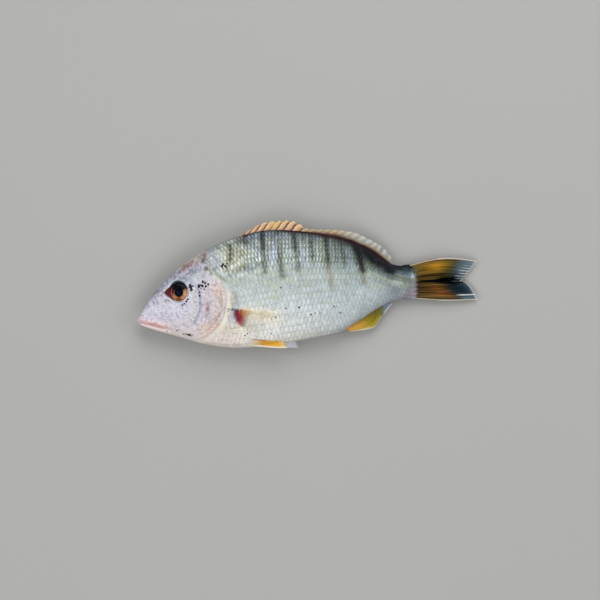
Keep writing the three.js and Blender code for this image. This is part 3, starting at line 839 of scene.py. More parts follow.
class Finish(NodeTree):
    """A node material round one principled surface."""

    def __init__(self, name, **uniform):
        self.material = bpy.data.materials.new(name)
        self.material.use_nodes = True
        self.tree = self.material.node_tree
        self.surface = self.tree.nodes["Principled BSDF"]
        for key, value in uniform.items():
            self.surface.inputs[key.replace("_", " ")].default_value = value
        self.place = self.node("ShaderNodeTexCoord")["Object"]

    def attribute(self, name, output="Color"):
        return self.node("ShaderNodeAttribute", attribute_name=name)[output]

    def stretched(self, *scale):
        return self.node("ShaderNodeMapping", {"Vector": self.place, "Scale": scale})["Vector"]

    def noise(self, scale, detail, vector=None):
        inputs = {"Vector": vector or self.place, "Scale": scale, "Detail": detail}
        return self.node("ShaderNodeTexNoise", inputs)["Fac"]

    def between(self, value, low, high, to_low=0.0, to_high=1.0):
        inputs = {"Value": value, "From Min": low, "From Max": high, "To Min": to_low, "To Max": to_high}
        return self.node("ShaderNodeMapRange", inputs)["Result"]

    def varied(self, noise, low, high):
        return self.between(noise, *NOISE_RANGE, low, high)

    def mottled(self, amount, tone, noise, low, high):
        """A tone made darker and lighter by a noise, as much as amount says."""
        return self.mix(amount, tone, self.varied(noise, low, high), "MULTIPLY")

    def mix(self, weight, first, second, blend="MIX"):
        inputs = {"Factor": weight, FIRST_COLOUR: first, SECOND_COLOUR: second}
        return self.node("ShaderNodeMix", inputs, data_type="RGBA", blend_type=blend)[MIXED_COLOUR]

    def bump(self, height, distance, strength, **normal):
        inputs = {"Height": height, "Distance": distance, "Strength": strength, **normal}
        return self.node("ShaderNodeBump", inputs)["Normal"]

    def connect(self, key, value):
        self.tree.links.new(value, self.surface.inputs[key])


def rgba(code):
    """A hex colour as a shader takes it."""
    return (*linear(code), 1.0)


WET_SKIN = dict(IOR=1.38, Specular_IOR_Level=0.35, Coat_Weight=0.12, Coat_Roughness=0.2)

# Marks of the bare skin: noise scale and detail, its stretch, the noise values where the mark
# begins and is full, the mask, the strength and the colour.
SKIN_MARKS = [
    (430, 4, (1, 1, 1), 0.5, 0.6, "mottle", 0.62, "77768c"),
    (480, 4, (1, 1.2, 1), 0.53, 0.62, "mottle", 0.6, "efe6ee"),
    (950, 3, (1, 1, 1), 0.53, 0.62, "mottle", 0.55, "5f5e74"),
    (380, 4, (0.8, 1.1, 1), 0.5, 0.68, "crown", 0.7, "50505f"),
    (300, 4, (1, 0.8, 1), 0.5, 0.68, "crown", 0.4, "d4d2da"),
    (520, 3, (1, 1, 1), 0.42, 0.56, "smudge", 0.7, "4a5058"),
]


def skin_finish():
    """Wet bare skin: painted zones, grey and pink mottling, fine wrinkles and slime."""
    f = Finish("bream_skin", **WET_SKIN)
    masks = f.node("ShaderNodeSeparateColor", {"Color": f.attribute("marks")})
    masks = dict(smudge=masks["Red"], mottle=masks["Green"], crown=masks["Blue"])
    cloud = f.noise(260, 4)
    tone = f.mottled(0.2, f.attribute("tone"), cloud, 0.6, 1.05)
    for scale, detail, stretch, low, high, mask, strength, code in SKIN_MARKS:
        mark = f.between(f.noise(scale, detail, f.stretched(*stretch)), low, high)
        tone = f.mix(f.times(f.times(mark, masks[mask]), strength), tone, rgba(code))
    f.connect("Base Color", tone)
    f.connect("Roughness", f.varied(cloud, 0.36, 0.52))
    fine = f.bump(f.noise(1300, 4), 0.00012, 0.5)
    f.connect("Normal", f.bump(f.noise(300, 3), 0.0005, 0.35, Normal=fine))
    return f.material


def speck_finish():
    f = Finish("black_specks", IOR=1.35, Roughness=0.5)
    f.connect("Base Color", f.mix(f.between(f.noise(900, 2), 0.4, 0.65), rgba("07080a"), rgba("2a2d30")))
    return f.material


def scale_finish():
    """Silvery scales: each has a painted shadow over its root, an upright pale dash that is partly its silver
    and partly a painted highlight, darker upper and lower sides, and a thin darker free edge.
    """
    f = Finish("bream_scales", **WET_SKIN)
    split = f.node("ShaderNodeSeparateXYZ", {"Vector": f.attribute("scale_place", "Vector")})
    aft, across = split["X"], split["Y"]
    contrast = f.attribute("contrast", "Fac")
    shade = f.attribute("variation", "Fac")
    streak = f.noise(1.0, 3, f.stretched(420, 110, 110))
    tone = f.mottled(0.3, f.attribute("tone"), streak, 0.7, 1.1)
    dark = f.mix(1.0, tone, rgba("7d8a8c"), "MULTIPLY")
    # The colour of the pale dash: the scale's tone made lighter, partly its silver and partly a painted
    # highlight.
    bright = f.mix(1.0, tone, (1.55, 1.6, 1.68, 1.0), "MULTIPLY")
    off_middle = f.times(across, across)
    bend = f.math("ADD", aft, f.times(off_middle, 0.13))
    # Painted shadow over the root of each scale, where the scale ahead covers it.
    tone = f.mix(f.times(f.between(bend, 0.7, 0.58), contrast), tone, dark)
    dash = f.times(f.between(bend, 0.6, 0.8), f.between(bend, 1.0, 0.86))
    dash = f.times(dash, f.between(off_middle, 0.36, 0.04))
    dash = f.times(dash, f.between(shade, 0.0, 1.0, 0.3, 1.2))
    seam = f.times(f.between(off_middle, 0.3, 0.6), f.times(contrast, 0.32))
    tone = f.mix(seam, tone, dark)
    tone = f.mix(f.times(dash, contrast), tone, bright)
    rim = f.times(f.between(aft, 0.93, 1.0), f.times(contrast, 0.6))
    tone = f.mix(rim, tone, dark)
    tone = f.mix(1.0, tone, f.between(shade, 0.0, 1.0, 0.9, 1.06), "MULTIPLY")
    f.connect("Base Color", tone)
    f.connect("Roughness", f.between(shade, 0.0, 1.0, 0.34, 0.5))
    growth_rings = f.math("SINE", f.times(aft, 70.0))
    f.connect("Normal", f.bump(growth_rings, 0.00003, 0.4))
    return f.material


def fin_finish(name, gloss=0.3, clear=False):
    """Moist fin membrane over rays, painted along and across the fin."""
    f = Finish(name, IOR=1.22, Roughness=0.34, Specular_IOR_Level=gloss)
    streak = f.noise(700, 4)
    f.connect("Base Color", f.mottled(0.3, f.attribute("tone"), streak, 0.6, 1.05))
    f.connect("Normal", f.bump(f.noise(1600, 3), 0.00008, 0.5))
    if clear:
        f.connect("Alpha", f.attribute("thick", "Fac"))
    return f.material


def eye_finish():
    """Iris fibres round a dark pupil, under a clear wet cornea."""
    f = Finish("bream_eye", IOR=1.34, Roughness=0.12, Specular_IOR_Level=0.05)
    fibres = f.noise(1.0, 3, f.attribute("fibre", "Vector"))
    tone = f.mix(f.between(fibres, 0.35, 0.65, 0.0, 0.5), f.attribute("tone"), rgba("5a3018"), "MULTIPLY")
    f.connect("Base Color", tone)
    return f.material


def floor_finish():
    f = Finish("studio_floor", Roughness=0.75)
    f.connect("Base Color", f.mottled(0.1, rgba("a9a9a7"), f.noise(6, 3), 0.9, 1.0))
    return f.material


# ---- Skin ----

SKIN_RING = 310  # points round a section
SNOUT_RINGS = 10
CLOSING_RINGS = 9
HEAD_PITCH = 0.62  # distance between the sections of the head
FLANK_PITCH = 1.4
HEAD_END = 76.0
RING_EVENNESS = 0.4  # 0 crowds the points at the keel and the crest, 1 spaces them evenly


def ring_share(q):
    """Share of a section's height, for q from -1 at the belly to 1 at the back."""
    return (lerp(np.sin(np.pi / 2 * q), q, RING_EVENNESS) + 1) / 2


def skin_stations():
    turn = np.linspace(0, np.pi / 2, SNOUT_RINGS + 2)[1:-1]
    snout = NOSE_LENGTH * (1 - np.cos(turn))
    head = np.arange(NOSE_LENGTH, HEAD_END, HEAD_PITCH)
    body = np.arange(HEAD_END, FLESH_LENGTH - TAIL_CLOSE, FLANK_PITCH)
    turn = np.linspace(0, np.pi / 2, CLOSING_RINGS)
    close = FLESH_LENGTH - TAIL_CLOSE + TAIL_CLOSE * np.sin(turn)
    return np.concatenate([snout, head, body, close])


def make_skin(material):
    stations = skin_stations()[:, None]
    turn = np.arange(SKIN_RING) / SKIN_RING * 4
    q = np.where(turn <= 2, turn - 1, 3 - turn)[None, :]
    y = lerp(belly(stations), back(stations), ring_share(q))
    z = np.where(turn <= 2, flank(stations, y, 1), flank(stations, y, -1))
    points = in_frame(stations, y, z).reshape(-1, 3)
    rows = len(stations)
    faces = grid_faces(rows, SKIN_RING, wrap=True)
    tip = len(points)
    points = np.vstack([points, in_frame(0, NOSE_Y, lift(0))])
    faces += [(tip, k, (k + 1) % SKIN_RING) for k in range(SKIN_RING)]
    last = (rows - 1) * SKIN_RING
    faces.append([last + k for k in reversed(range(SKIN_RING))])
    skin = mesh_object("skin", points, faces, material)
    s, y, _ = measures(skin.data)
    set_colour(skin.data, "tone", skin_tone(s, y))
    set_colour(skin.data, "marks", skin_marks(s, y))
    return skin


# ---- Scales ----

SCALE_LENGTH = 5.7
SCALE_HEIGHT = 6.4
SCALE_THICKNESS = 0.3
SCALE_ROUNDING = 0.2  # how far the corners of its free edge draw back, as a share of its length
SCALE_SINK, SCALE_RISE, SCALE_DOME = 0.1, 0.22, 0.1  # its root under the skin, its slope and its arch
SCALE_ORIGIN = 0.74  # the share of a scale's length that lies ahead of its point on the skin
SCALE_STEP = 3.1  # from one scale of a row to the next
SCALE_STRAY = 0.07  # how far at most a scale lies off its place in the row, in steps
SCALE_TILT = 0.02  # how far at most it is turned at random, in radians
BACK_CROWDING = 1.25  # how much closer the scales stand on the upper back
BED_START = 47.0
BED_END = 206.0
BED_HEIGHTS = 150  # points of the bed from the keel to the crest
BED_REACH = 120.0  # height of flank that the map spans where its rows are of even height
BED_ROWS = 25
LINE_AT = 0.6  # the lateral line's place on the map
ROWS_ABOVE = 6.95  # rows of scales between the lateral line and the crest
ROWS_BELOW = 14.75  # and between the line and the keel
TAIL_ROWS, TAIL_STEP, TAIL_SIZE = 0.58, 0.78, 0.66  # what is left of row height, step and size at the tail
TAPER = (110, 200)  # stations over which the scales get smaller
COLLAR_SIZE, EDGE_SIZE = 0.68, 0.7  # size of the scales at the head, and at the keel and the crest
LINE_BAND = (0.06, 0.14)  # rows on the lattice over which the stagger fades, up to the lateral line
STAGGER_ABOVE = 0.15  # what is left of the stagger above the line
COLLAR_LOW, COLLAR_MIDDLE, COLLAR_NAPE = 2.4, 4.8, 0.6  # bare skin between the head and the scales
SHARES_BARE = (0.0004, 0.99995)  # the keel and the crest stay bare beyond these shares of the height
EDGE_STEEPNESS = 1000  # what a share of the height counts for beside a distance in millimetres
SCALE_SEED = 7


def scale_shape():
    """One scale, closed all round: a domed plate that rises towards its rounded free edge."""
    u, v = np.meshgrid(np.linspace(0, 1, 4), np.linspace(-1, 1, 6), indexing="ij")
    x = SCALE_LENGTH * (u - SCALE_ORIGIN - SCALE_ROUNDING * v * v * u)
    y = v * SCALE_HEIGHT / 2 * (0.84 + 0.16 * np.sin(np.pi * u))
    z = -SCALE_SINK + SCALE_RISE * u - SCALE_DOME * v * v
    top = np.stack([x, y, z], axis=-1).reshape(-1, 3)
    rim = grid_rim(*u.shape)
    low = {k: len(top) + n for n, k in enumerate(rim)}
    faces = grid_faces(*u.shape)
    faces += [[a, b, low[b], low[a]] for a, b in zip(rim, rim[1:] + rim[:1])]
    faces.append([low[k] for k in rim])
    under = top[rim] - np.array([0, 0, SCALE_THICKNESS])
    shape = mesh_object("scale_shape", np.vstack([top, under]) * MM, faces)
    place = np.stack([u, v, 0 * u], axis=-1).reshape(-1, 3)
    set_vector(shape.data, "scale_place", np.vstack([place, place[rim]]))
    return shape


def scale_tree(material):
    """Scales on a staggered lattice over the bed's map, turned to the skin and the tail."""
    g = Growth("scale_rows", Bed="Geometry", Scale="Object", Columns="Int", Rows="Int", Stagger="Float",
               Scatter="Float", Tilt="Float", Seed="Int")
    grid = g.node("GeometryNodeMeshGrid", {"Size X": 1.0, "Size Y": 1.0, "Vertices X": g.given["Columns"],
                                           "Vertices Y": g.given["Rows"]})[0]
    index = g.node("GeometryNodeInputIndex")[0]
    row = g.math("MODULO", index, g.given["Rows"])
    shift = g.times(g.math("MODULO", row, 2.0), g.given["Stagger"])
    height = g.node("ShaderNodeSeparateXYZ", {0: g.place()})["Y"]
    aligned = g.node("ShaderNodeMapRange", {"Value": height, "From Min": LINE_BAND[0],
                                            "From Max": LINE_BAND[1], "To Min": 1.0,
                                            "To Max": STAGGER_ABOVE})[0]
    shift = g.node("ShaderNodeCombineXYZ", {"X": g.times(shift, aligned)})[0]
    stray = g.scale(g.random("FLOAT_VECTOR", Min=(-1, -1, 0), Max=(1, 1, 0)), g.given["Scatter"])
    on_map = g.add(g.add(g.add(g.place(), (0.5, 0.5, 0.0)), shift), stray)
    flow = g.store(grid, "spot", on_map)

    def sampled(value):
        inputs = {"Mesh": g.given["Bed"], "Value": value, "UV Map": g.named("bed_map"),
                  "Sample UV": g.named("spot")}
        return g.node("GeometryNodeSampleUVSurface", inputs, data_type="FLOAT_VECTOR")

    where = sampled(g.place())
    lost = g.node("FunctionNodeBooleanMath", {0: where["Is Valid"]}, operation="NOT")[0]
    axes = {"Primary Axis": sampled(g.named("outwards"))["Value"],
            "Secondary Axis": sampled(g.named("aft"))["Value"]}
    turn = g.node("FunctionNodeAxesToRotation", axes, primary_axis="Z", secondary_axis="X")[0]
    tilt = g.scale(g.random("FLOAT_VECTOR", Min=(-1, -1, -1), Max=(1, 1, 1), ID=index), g.given["Tilt"])
    tilt = g.node("FunctionNodeEulerToRotation", {"Euler": tilt})[0]
    turn = g.node("FunctionNodeRotateRotation", {"Rotation": turn, "Rotate By": tilt},
                  rotation_space="LOCAL")[0]
    flow = g.store(flow, "kept_turn", turn, "QUATERNION")
    flow = g.store(flow, "kept_size", sampled(g.named("size"))["Value"])
    flow = g.store(flow, "kept_where", where["Value"])
    flow = g.node("GeometryNodeDeleteGeometry", {"Geometry": flow, "Selection": lost}, domain="POINT")[0]
    flow = g.node("GeometryNodeSetPosition", {"Geometry": flow, "Position": g.named("kept_where")})[0]
    model = g.node("GeometryNodeObjectInfo", {"Object": g.given["Scale"]})["Geometry"]
    flow = g.node("GeometryNodeInstanceOnPoints", {
        "Points": flow, "Instance": model, "Rotation": g.named("kept_turn", "QUATERNION"),
        "Scale": g.named("kept_size")})[0]
    flow = g.store(flow, "variation", g.random(), "FLOAT", "INSTANCE")
    return g.finish(flow, material)


def scaled_area(s, y):
    """Above 0 where the skin carries scales: behind the gill cover and the nape, to the tail."""
    collar = lerp(COLLAR_LOW, COLLAR_MIDDLE, band(-38, -28, -14, -1, y))
    collar = lerp(collar, COLLAR_NAPE, ramp(-2, 6, y))
    share = height_share(s, y)
    off_edge = np.minimum(share - SHARES_BARE[0], SHARES_BARE[1] - share)
    return np.minimum(behind_head(s, y) - collar, off_edge * EDGE_STEEPNESS)


def make_bed(side):
    """The part of one flank that carries scales, with a map whose rows follow the lateral line."""
    stations = np.arange(BED_START, BED_END + 0.5, 1.0)[:, None]
    q = np.linspace(-1, 1, BED_HEIGHTS)[None, :]
    y = lerp(belly(stations), back(stations), (np.sin(np.pi / 2 * q) + 1) / 2)
    s = stations + 0 * y
    share = height_share(s, y)
    points = in_frame(s, y, flank(s, y, side))
    bed_columns, along, crowding = bed_along(stations, share)
    aft = np.gradient(points, axis=0)
    outwards = np.cross(aft, np.gradient(points, axis=1)) * side
    quads = np.array(grid_faces(*y.shape))
    worth = scaled_area(s, y).ravel()[quads].min(axis=1) > 0
    bed = mesh_object("scale_bed", points, quads[worth].tolist())
    set_vector(bed.data, "bed_map", np.stack([along, bed_across(s, y, points), 0 * y], axis=-1))
    set_vector(bed.data, "outwards", unit(outwards))
    set_vector(bed.data, "aft", unit(aft))
    growth = lerp(1, TAIL_SIZE, ramp(*TAPER, s)) * lerp(COLLAR_SIZE, 1, ramp(2, 13, behind_head(s, y)))
    growth = growth * lerp(EDGE_SIZE, 1, band(0, 0.05, 0.96, 1, share))
    set_vector(bed.data, "size", np.stack([growth / crowding, growth, growth], axis=-1))
    return bed, bed_columns


def bed_along(stations, share):
    """Number of columns, place along the map from 0 to 1, and how crowded the scales are."""
    pitch = SCALE_STEP * lerp(1.0, TAIL_STEP, ramp(*TAPER, stations))
    run = np.cumsum(1 / pitch, axis=0)
    crowding = lerp(1, BACK_CROWDING, ramp(0.56, 0.76, share))
    along = (run - run[len(run) // 2]) * crowding
    columns = float(along.max() - along.min())
    return round(columns), (along - along.min()) / columns, crowding


def bed_across(s, y, points):
    """Place across the map: whole rows at the front, and rows of even height at the rear."""
    step = np.linalg.norm(np.diff(points, axis=1), axis=-1) / MM
    arc = np.concatenate([np.zeros((len(s), 1)), np.cumsum(step, axis=1)], axis=1)
    centre = [np.interp(lateral_line(line[0]), up, run) for line, up, run in zip(s, y, arc)]
    above = arc - np.array(centre)[:, None]
    shrunk = above / (BED_REACH * lerp(1, TAIL_ROWS, ramp(120, 200, s)))
    whole = np.where(above > 0, ROWS_ABOVE * above / above[:, -1:], -ROWS_BELOW * above / above[:, :1])
    return LINE_AT + lerp(whole / (BED_ROWS - 1), shrunk, ramp(130, 175, s))


def make_scales(side, name, tree, shape):
    bed, columns = make_bed(side)
    values = {"Scale": shape, "Columns": columns, "Rows": BED_ROWS, "Stagger": 0.5 / columns,
              "Scatter": SCALE_STRAY / columns, "Tilt": SCALE_TILT, "Seed": SCALE_SEED + side}
    scales = grow(bed, tree, values, name)
    s, y, _ = measures(scales.data)
    set_colour(scales.data, "tone", skin_tone(s, y))
    set_value(scales.data, "contrast", scale_contrast(s, y))
    return scales


def scale_contrast(s, y):
    """How strongly each scale's painted root shadow, darker sides and edge, and its pale dash with its
    painted highlight show, which is most on the upper back.
    """
    share = height_share(s, y)
    back_rows = ramp(0.6, 0.76, share)
    breast = fall(0.3, 0.5, share) * fall(70, 105, s)
    saddle = ramp(152, 166, s) * ramp(0.7, 0.85, share)
    nape = fall(62, 84, s)
    return np.clip(0.2 + (0.66 - 0.34 * nape) * back_rows - 0.12 * breast - 0.2 * saddle, 0, 1)


# ---- Fins ----

# On a fin, u runs from the first ray to the last, and v from a ray's root to its tip.
DORSAL = dict(rays=23, first=69.0, last=183.5, lean=9.0, last_lean=2.8, droop=2.2)
DORSAL_SPINES, ANAL_SPINES, PELVIC_SPINES = 11, 3, 1
dorsal_height = smooth_through([(78, 1.6), (84, 3.5), (91, 5.9), (104, 7.2), (112, 7.8), (118, 6.6),
                                (122, 4.2), (125, 2.8), (134, 3.4), (154, 6.6), (166, 7.8), (181, 8.5),
                                (186, 5.2)])
ANAL = dict(rays=13, first=151.0, last=181.0, droop=3.5)
anal_tip = smooth_through([(0, 156.4), (0.3, 168), (0.5, 174.4), (0.72, 178.2), (0.86, 182.6), (1, 187)])
anal_margin = smooth_through([(0, -36.9), (0.3, -35.6), (0.5, -33.4), (0.72, -27.6), (0.86, -22.2),
                              (1, -16.6)])
TAIL = dict(rays=17, root=200.0, fork=237.8, upper_tip=249.3, lower_tip=250.0)
TAIL_Y = dict(root_up=11.4, root_low=-12.2, fork=0.0, upper_tip=14.6, lower_tip=-13.4)
TAIL_BOW = (3.6, -1.1)  # of the upper and the lower lobe
TAIL_SHARPNESS = (0.94, 0.45)  # of the upper and the lower lobe
TAIL_DROOP = dict(tip=3.6, fold=1.1, fold_width=0.16)
PECTORAL = dict(rays=15, upper=(71.5, -20.8), lower=(75.0, -31.6), lay=1.1, sink=2.5)
pectoral_tip = smooth_through([(0, 114), (0.2, 112.5), (0.45, 106.5), (0.75, 97.5), (1, 88.5)])
pectoral_margin = smooth_through([(0, -24.6), (0.2, -28), (0.45, -32), (0.75, -36), (1, -38)])
PELVIC = dict(rays=6, length=32.0, rise=1.4, lay=1.1)
PELVIC_LEFT = dict(side=1, at=78.0, root=(-46.2, -42.4), margin=(-48.8, -44.2), slip=0.0)
PELVIC_RIGHT = dict(side=-1, at=80.0, root=(-45.8, -42.2), margin=(-48.6, -42.6), slip=6.0)


def dorsal_place(u, v):
    s = lerp(DORSAL["first"], DORSAL["last"], u)
    tip = s + lerp(DORSAL["lean"], DORSAL["last_lean"], ramp(0.8, 1, u))
    x = lerp(s, tip, v)
    y = lerp(back(s) - ROOT_DEPTH, back(tip) + dorsal_height(tip), v)
    return x, y, lift(x) - DORSAL["droop"] * v * v


def anal_place(u, v):
    s = lerp(ANAL["first"], ANAL["last"], u)
    x = lerp(s, anal_tip(u), v)
    y = lerp(belly(s) + ROOT_DEPTH, anal_margin(u), v)
    return x, y, lift(x) - ANAL["droop"] * v * v


def tail_place(u, v):
    spread = np.abs(2 * u - 1)
    upper = u < 0.5
    tip = np.where(upper, TAIL["upper_tip"], TAIL["lower_tip"])
    margin_x = lerp(TAIL["fork"], tip, spread ** np.where(upper, *TAIL_SHARPNESS))
    margin_y = lerp(TAIL_Y["fork"], np.where(upper, TAIL_Y["upper_tip"], TAIL_Y["lower_tip"]), spread)
    arch = np.sin(np.pi * np.clip(v, 0, 1))
    bow = np.where(upper, *TAIL_BOW) * spread * arch
    x = lerp(TAIL["root"], margin_x, v)
    y = lerp(lerp(TAIL_Y["root_up"], TAIL_Y["root_low"], u), margin_y, v) + bow
    fold = TAIL_DROOP["fold"] * bell(u - 0.5, TAIL_DROOP["fold_width"]) * arch
    return x, y, lift(TAIL["root"]) - TAIL_DROOP["tip"] * v * v - fold


def pectoral_place(side):
    def place(u, v):
        upper, lower = PECTORAL["upper"], PECTORAL["lower"]
        x = lerp(lerp(upper[0], lower[0], u), pectoral_tip(u), v)
        y = lerp(lerp(upper[1], lower[1], u), pectoral_margin(u), v)
        sunk = PECTORAL["sink"] * fall(0, 0.22, v)
        z = flank(x, y, side) + side * (PECTORAL["lay"] - sunk)
        return x, y, z if side > 0 else np.maximum(z, 0.6)
    return place


def pelvic_place(side, at, root, margin, slip):
    def place(u, v):
        x = at + 2 * u + (PELVIC["length"] + slip - 4 * u) * v
        y = lerp(lerp(*root, u), lerp(*margin, u), ramp(-0.2, 0.9, v))
        sunk = ROOT_DEPTH * fall(0, 0.3, v)
        z = flank(x, np.maximum(y, belly(x) + PELVIC["rise"]), side) + side * (PELVIC["lay"] - sunk)
        return x, y, z
    return place


BETWEEN_RAYS = 0.78  # how thick the membrane is between two rays, as a share of its thickness on them


def sheet_normals(points):
    """Unit normals of a grid of points, on the upper side."""
    normals = unit(np.cross(np.gradient(points, axis=0), np.gradient(points, axis=1)))
    return normals * np.where(normals[..., 2:].mean() < 0, -1, 1)


def make_membrane(name, place, rays, notch, thickness, tone, material, rows, per_ray):
    """The skin of a fin, thicker over its rays and drawn back between them, as one closed sheet."""
    columns = (rays - 1) * per_ray + 1
    u = np.linspace(0, 1, columns)[:, None] + np.zeros(rows)
    number, c = cell(u, rays)
    v = np.linspace(0, 1, rows) * (1 - notch(u, number) * np.sin(np.pi * c) ** 2)
    points = in_frame(*place(u, v))
    ridge = np.cos(np.pi * u * (rays - 1)) ** 2
    half_thick = lerp(*thickness, ramp(0, 1, v)) * lerp(BETWEEN_RAYS, 1.0, ridge) / 2
    offset = sheet_normals(points) * half_thick[..., None] * MM
    surfaces = np.vstack([(points + offset).reshape(-1, 3), (points - offset).reshape(-1, 3)])
    count = columns * rows
    faces = grid_faces(columns, rows)
    faces += [[count + k for k in reversed(quad)] for quad in faces]
    rim = grid_rim(columns, rows)
    faces += [[b, a, count + a, count + b] for a, b in zip(rim, rim[1:] + rim[:1])]
    sheet = mesh_object(name, surfaces, faces, material)
    face_out(sheet)
    paint_fin(sheet.data, np.tile(u.ravel(), 2), np.tile(v.ravel(), 2), tone)
    return sheet


def paint_fin(mesh, u, v, tone, denser=0.0):
    colour, thick = tone(u, v)
    set_colour(mesh, "tone", colour)
    set_value(mesh, "thick", np.minimum(denser + thick + 0 * u, 1))


ROD = {"Sides": 6, "Thickness": 1.0}
RAY_DENSER = 0.015  # how much less clear a ray is than the membrane round it


def ray_tree(material):
    """Round tapering rods along curves, as thick as each point says."""
    g = Growth("fin_rays", Rays="Geometry", Sides="Int", Thickness="Float")
    curves = g.node("GeometryNodeMeshToCurve", {"Mesh": g.given["Rays"]})[0]
    ring = g.node("GeometryNodeCurvePrimitiveCircle", {"Resolution": g.given["Sides"], "Radius": 1.0})[0]
    girth = g.times(g.named("girth", "FLOAT"), g.given["Thickness"])
    rods = g.node("GeometryNodeCurveToMesh", {"Curve": curves, "Profile Curve": ring, "Scale": girth,
                                              "Fill Caps": True})[0]
    return g.finish(rods, material)


def make_rays(name, place, lines, tree, tone, girth):
    """Rods along lines of (u, v) points on a fin, with girth their radius at the root and the tip."""
    edges, marks = [], []
    for line in lines:
        start = len(marks)
        marks += [tuple(mark) for mark in line]
        edges += [(start + k, start + k + 1) for k in range(len(line) - 1)]
    u, v = np.array(marks).T
    base = line_object(name + "_lines", in_frame(*place(u, v)), edges)
    set_value(base.data, "girth", lerp(*girth, np.clip(v, 0, 1)) * MM)
    set_vector(base.data, "on_fin", np.stack([u, v, 0 * u], axis=-1))
    rods = grow(base, tree, ROD, name)
    on_fin = np.empty(len(rods.data.vertices) * 3)
    rods.data.attributes["on_fin"].data.foreach_get("vector", on_fin)
    u, v, _ = on_fin.reshape(-1, 3).T
    paint_fin(rods.data, u, v, tone, RAY_DENSER)
    rods.data.shade_smooth()
    return rods


def ray_lines(rays, steps, fork, spread, spines=0, reach=None):
    """Centre lines of a fin's rays: spines run straight, soft rays split in two part way out."""
    lines = []
    for k in range(rays):
        u = k / (rays - 1)
        end = reach(k) if reach else 1.0
        v = np.linspace(0, 1, steps) * end
        if k < spines:
            lines.append(np.stack([np.full(steps, u), v], axis=-1))
            continue
        for way in (-1, 1):
            apart = way * spread / (rays - 1) * ramp(fork, 1.0, v / end)
            lines.append(np.stack([np.clip(u + apart, 0, 1), v], axis=-1))
    return lines


def cell(u, rays):
    """Number of the ray before u, and the share of the way to the next one."""
    at = np.clip(u, 0, 1) * (rays - 1)
    number = np.minimum(np.floor(at), rays - 2)
    return number, at - number


def dorsal_tone(u, v):
    _, c = cell(u, DORSAL["rays"])
    soft = ramp(0.36, 0.45, u)
    lean = np.clip(c + 0.25 * ramp(0.28, 1.0, v), 0, 1)
    # Across each folded spine: a cream painted highlight along the spine, orange, then dark brown before the
    # next spine.
    spiny = Coat(u, v, gradient(lean, [(0, "e8d8b4"), (0.16, "e4c29c"), (0.34, "daac8a"), (0.6, "d2a284"),
                                       (0.74, "8a5c48"), (0.84, "35241e"), (0.95, "35241e"), (1, "e2cca2")]))
    root = fall(0.3, 0.5, v)
    spiny.lay("d9b765", bell(u - 0.222, 0.033) * 0.7 * fall(0.7, 0.9, c))
    spiny.lay("ecd3a4", ramp(0.8, 0.92, v) * bell(c - 0.35, 0.4) * 0.75)
    spiny.lay("b07a78", root * 0.5)
    spiny.lay("4a3524", root * ramp(0.55, 0.8, c) * 0.8)
    spiny.lay("2b2a1c", ramp(0.84, 0.93, v) * bell(c - 0.82, 0.14) * ramp(0.15, 0.21, u) * 0.95)
    out = v + 0.07 * (patchy(u * 60, 0 * v, 3.0, 2) - 0.5)
    front = gradient(out, [(0, "2e1220"), (0.44, "401826"), (0.55, "744838"), (0.68, "ae906c"),
                           (0.84, "c6b08a"), (1, "d8ccb0")])
    rear = gradient(out, [(0, "220d18"), (0.34, "321620"), (0.43, "7c6858"), (0.56, "a49f8c"),
                          (0.78, "b6bcbb"), (1, "d6dad6")])
    web = Coat(u, v, lerp(front, rear, ramp(0.58, 0.77, u)[..., None]))
    web.lay("a8876a", patchy(u * 90, v * 6, 3) * bell(v - 0.6, 0.2) * fall(0.52, 0.66, u) * 0.6)
    web.lay("e6dcc2", bell(np.minimum(c, 1 - c), 0.16) * ramp(0.5, 0.62, v) * 0.4)
    web.lay("857a66", bell(c - 0.5, 0.2) * ramp(0.5, 0.6, v) * 0.45)
    return lerp(spiny.tone, web.tone, soft[..., None]), lerp(1.0, 0.8, soft * ramp(0.4, 0.6, v))


def anal_tone(u, v):
    _, c = cell(u, ANAL["rays"])
    out = ramp(0.25, 1.0, v)
    coat = Coat(u, v, gradient(u - 0.1 * (1 - out), [(0, "e6a654"), (0.18, "d8a644"), (0.42, "9c8529"),
                                                     (0.62, "786e22"), (0.76, "72723e"), (0.86, "788894"),
                                                     (1, "8694a8")]))
    coat.lay("dfa94e", bell(u - 0.1, 0.12) * bell(out - 0.6, 0.3) * 0.6)
    coat.lay("b5a53c", ramp(0.6, 0.85, out) * fall(0.7, 0.82, u) * 0.7)
    coat.lay("55431a", fall(0.2, 0.6, v) * 0.4)
    coat.lay("5a4c16", bell(c - 0.5, 0.22) * fall(0.8, 0.9, u) * 0.14)
    coat.lay("f3dfb4", ramp(0.78, 0.95, v) * fall(0.3, 0.5, u) * 0.8)
    coat.lay("efe9d6", ramp(0.94, 0.985, v) * 0.9)
    coat.lay("dfe6ea", ramp(0.8, 0.9, v) * ramp(0.8, 0.86, u) * 0.6)
    return coat.tone, 0.95


def upper_lobe(u, v):
    coat = Coat(u, v, gradient(v, [(0, "6f6a50"), (0.1, "5c5230"), (0.24, "665018"), (0.45, "6c5414"),
                                   (0.6, "564b18"), (0.7, "45462e"), (0.8, "4f5c62"), (1, "667480")]))
    coat.patch("c88c26", 0.17, 0.42, 0.07, 0.14, 0.9)
    coat.patch("a47c34", 0.07, 0.26, 0.035, 0.18, 0.7)
    coat.lay("251c0a", ramp(0.28, 0.36, u) * band(0.08, 0.2, 0.55, 0.75, v) * 0.85)
    coat.patch("6a5418", 0.27, 0.32, 0.05, 0.16, 0.6)
    coat.patch("241d0e", 0.3, 0.62, 0.06, 0.1, 0.7)
    coat.lay("10181e", ramp(0.2, 0.4, u) * ramp(0.66, 0.8, v) * 0.85)
    return coat.tone


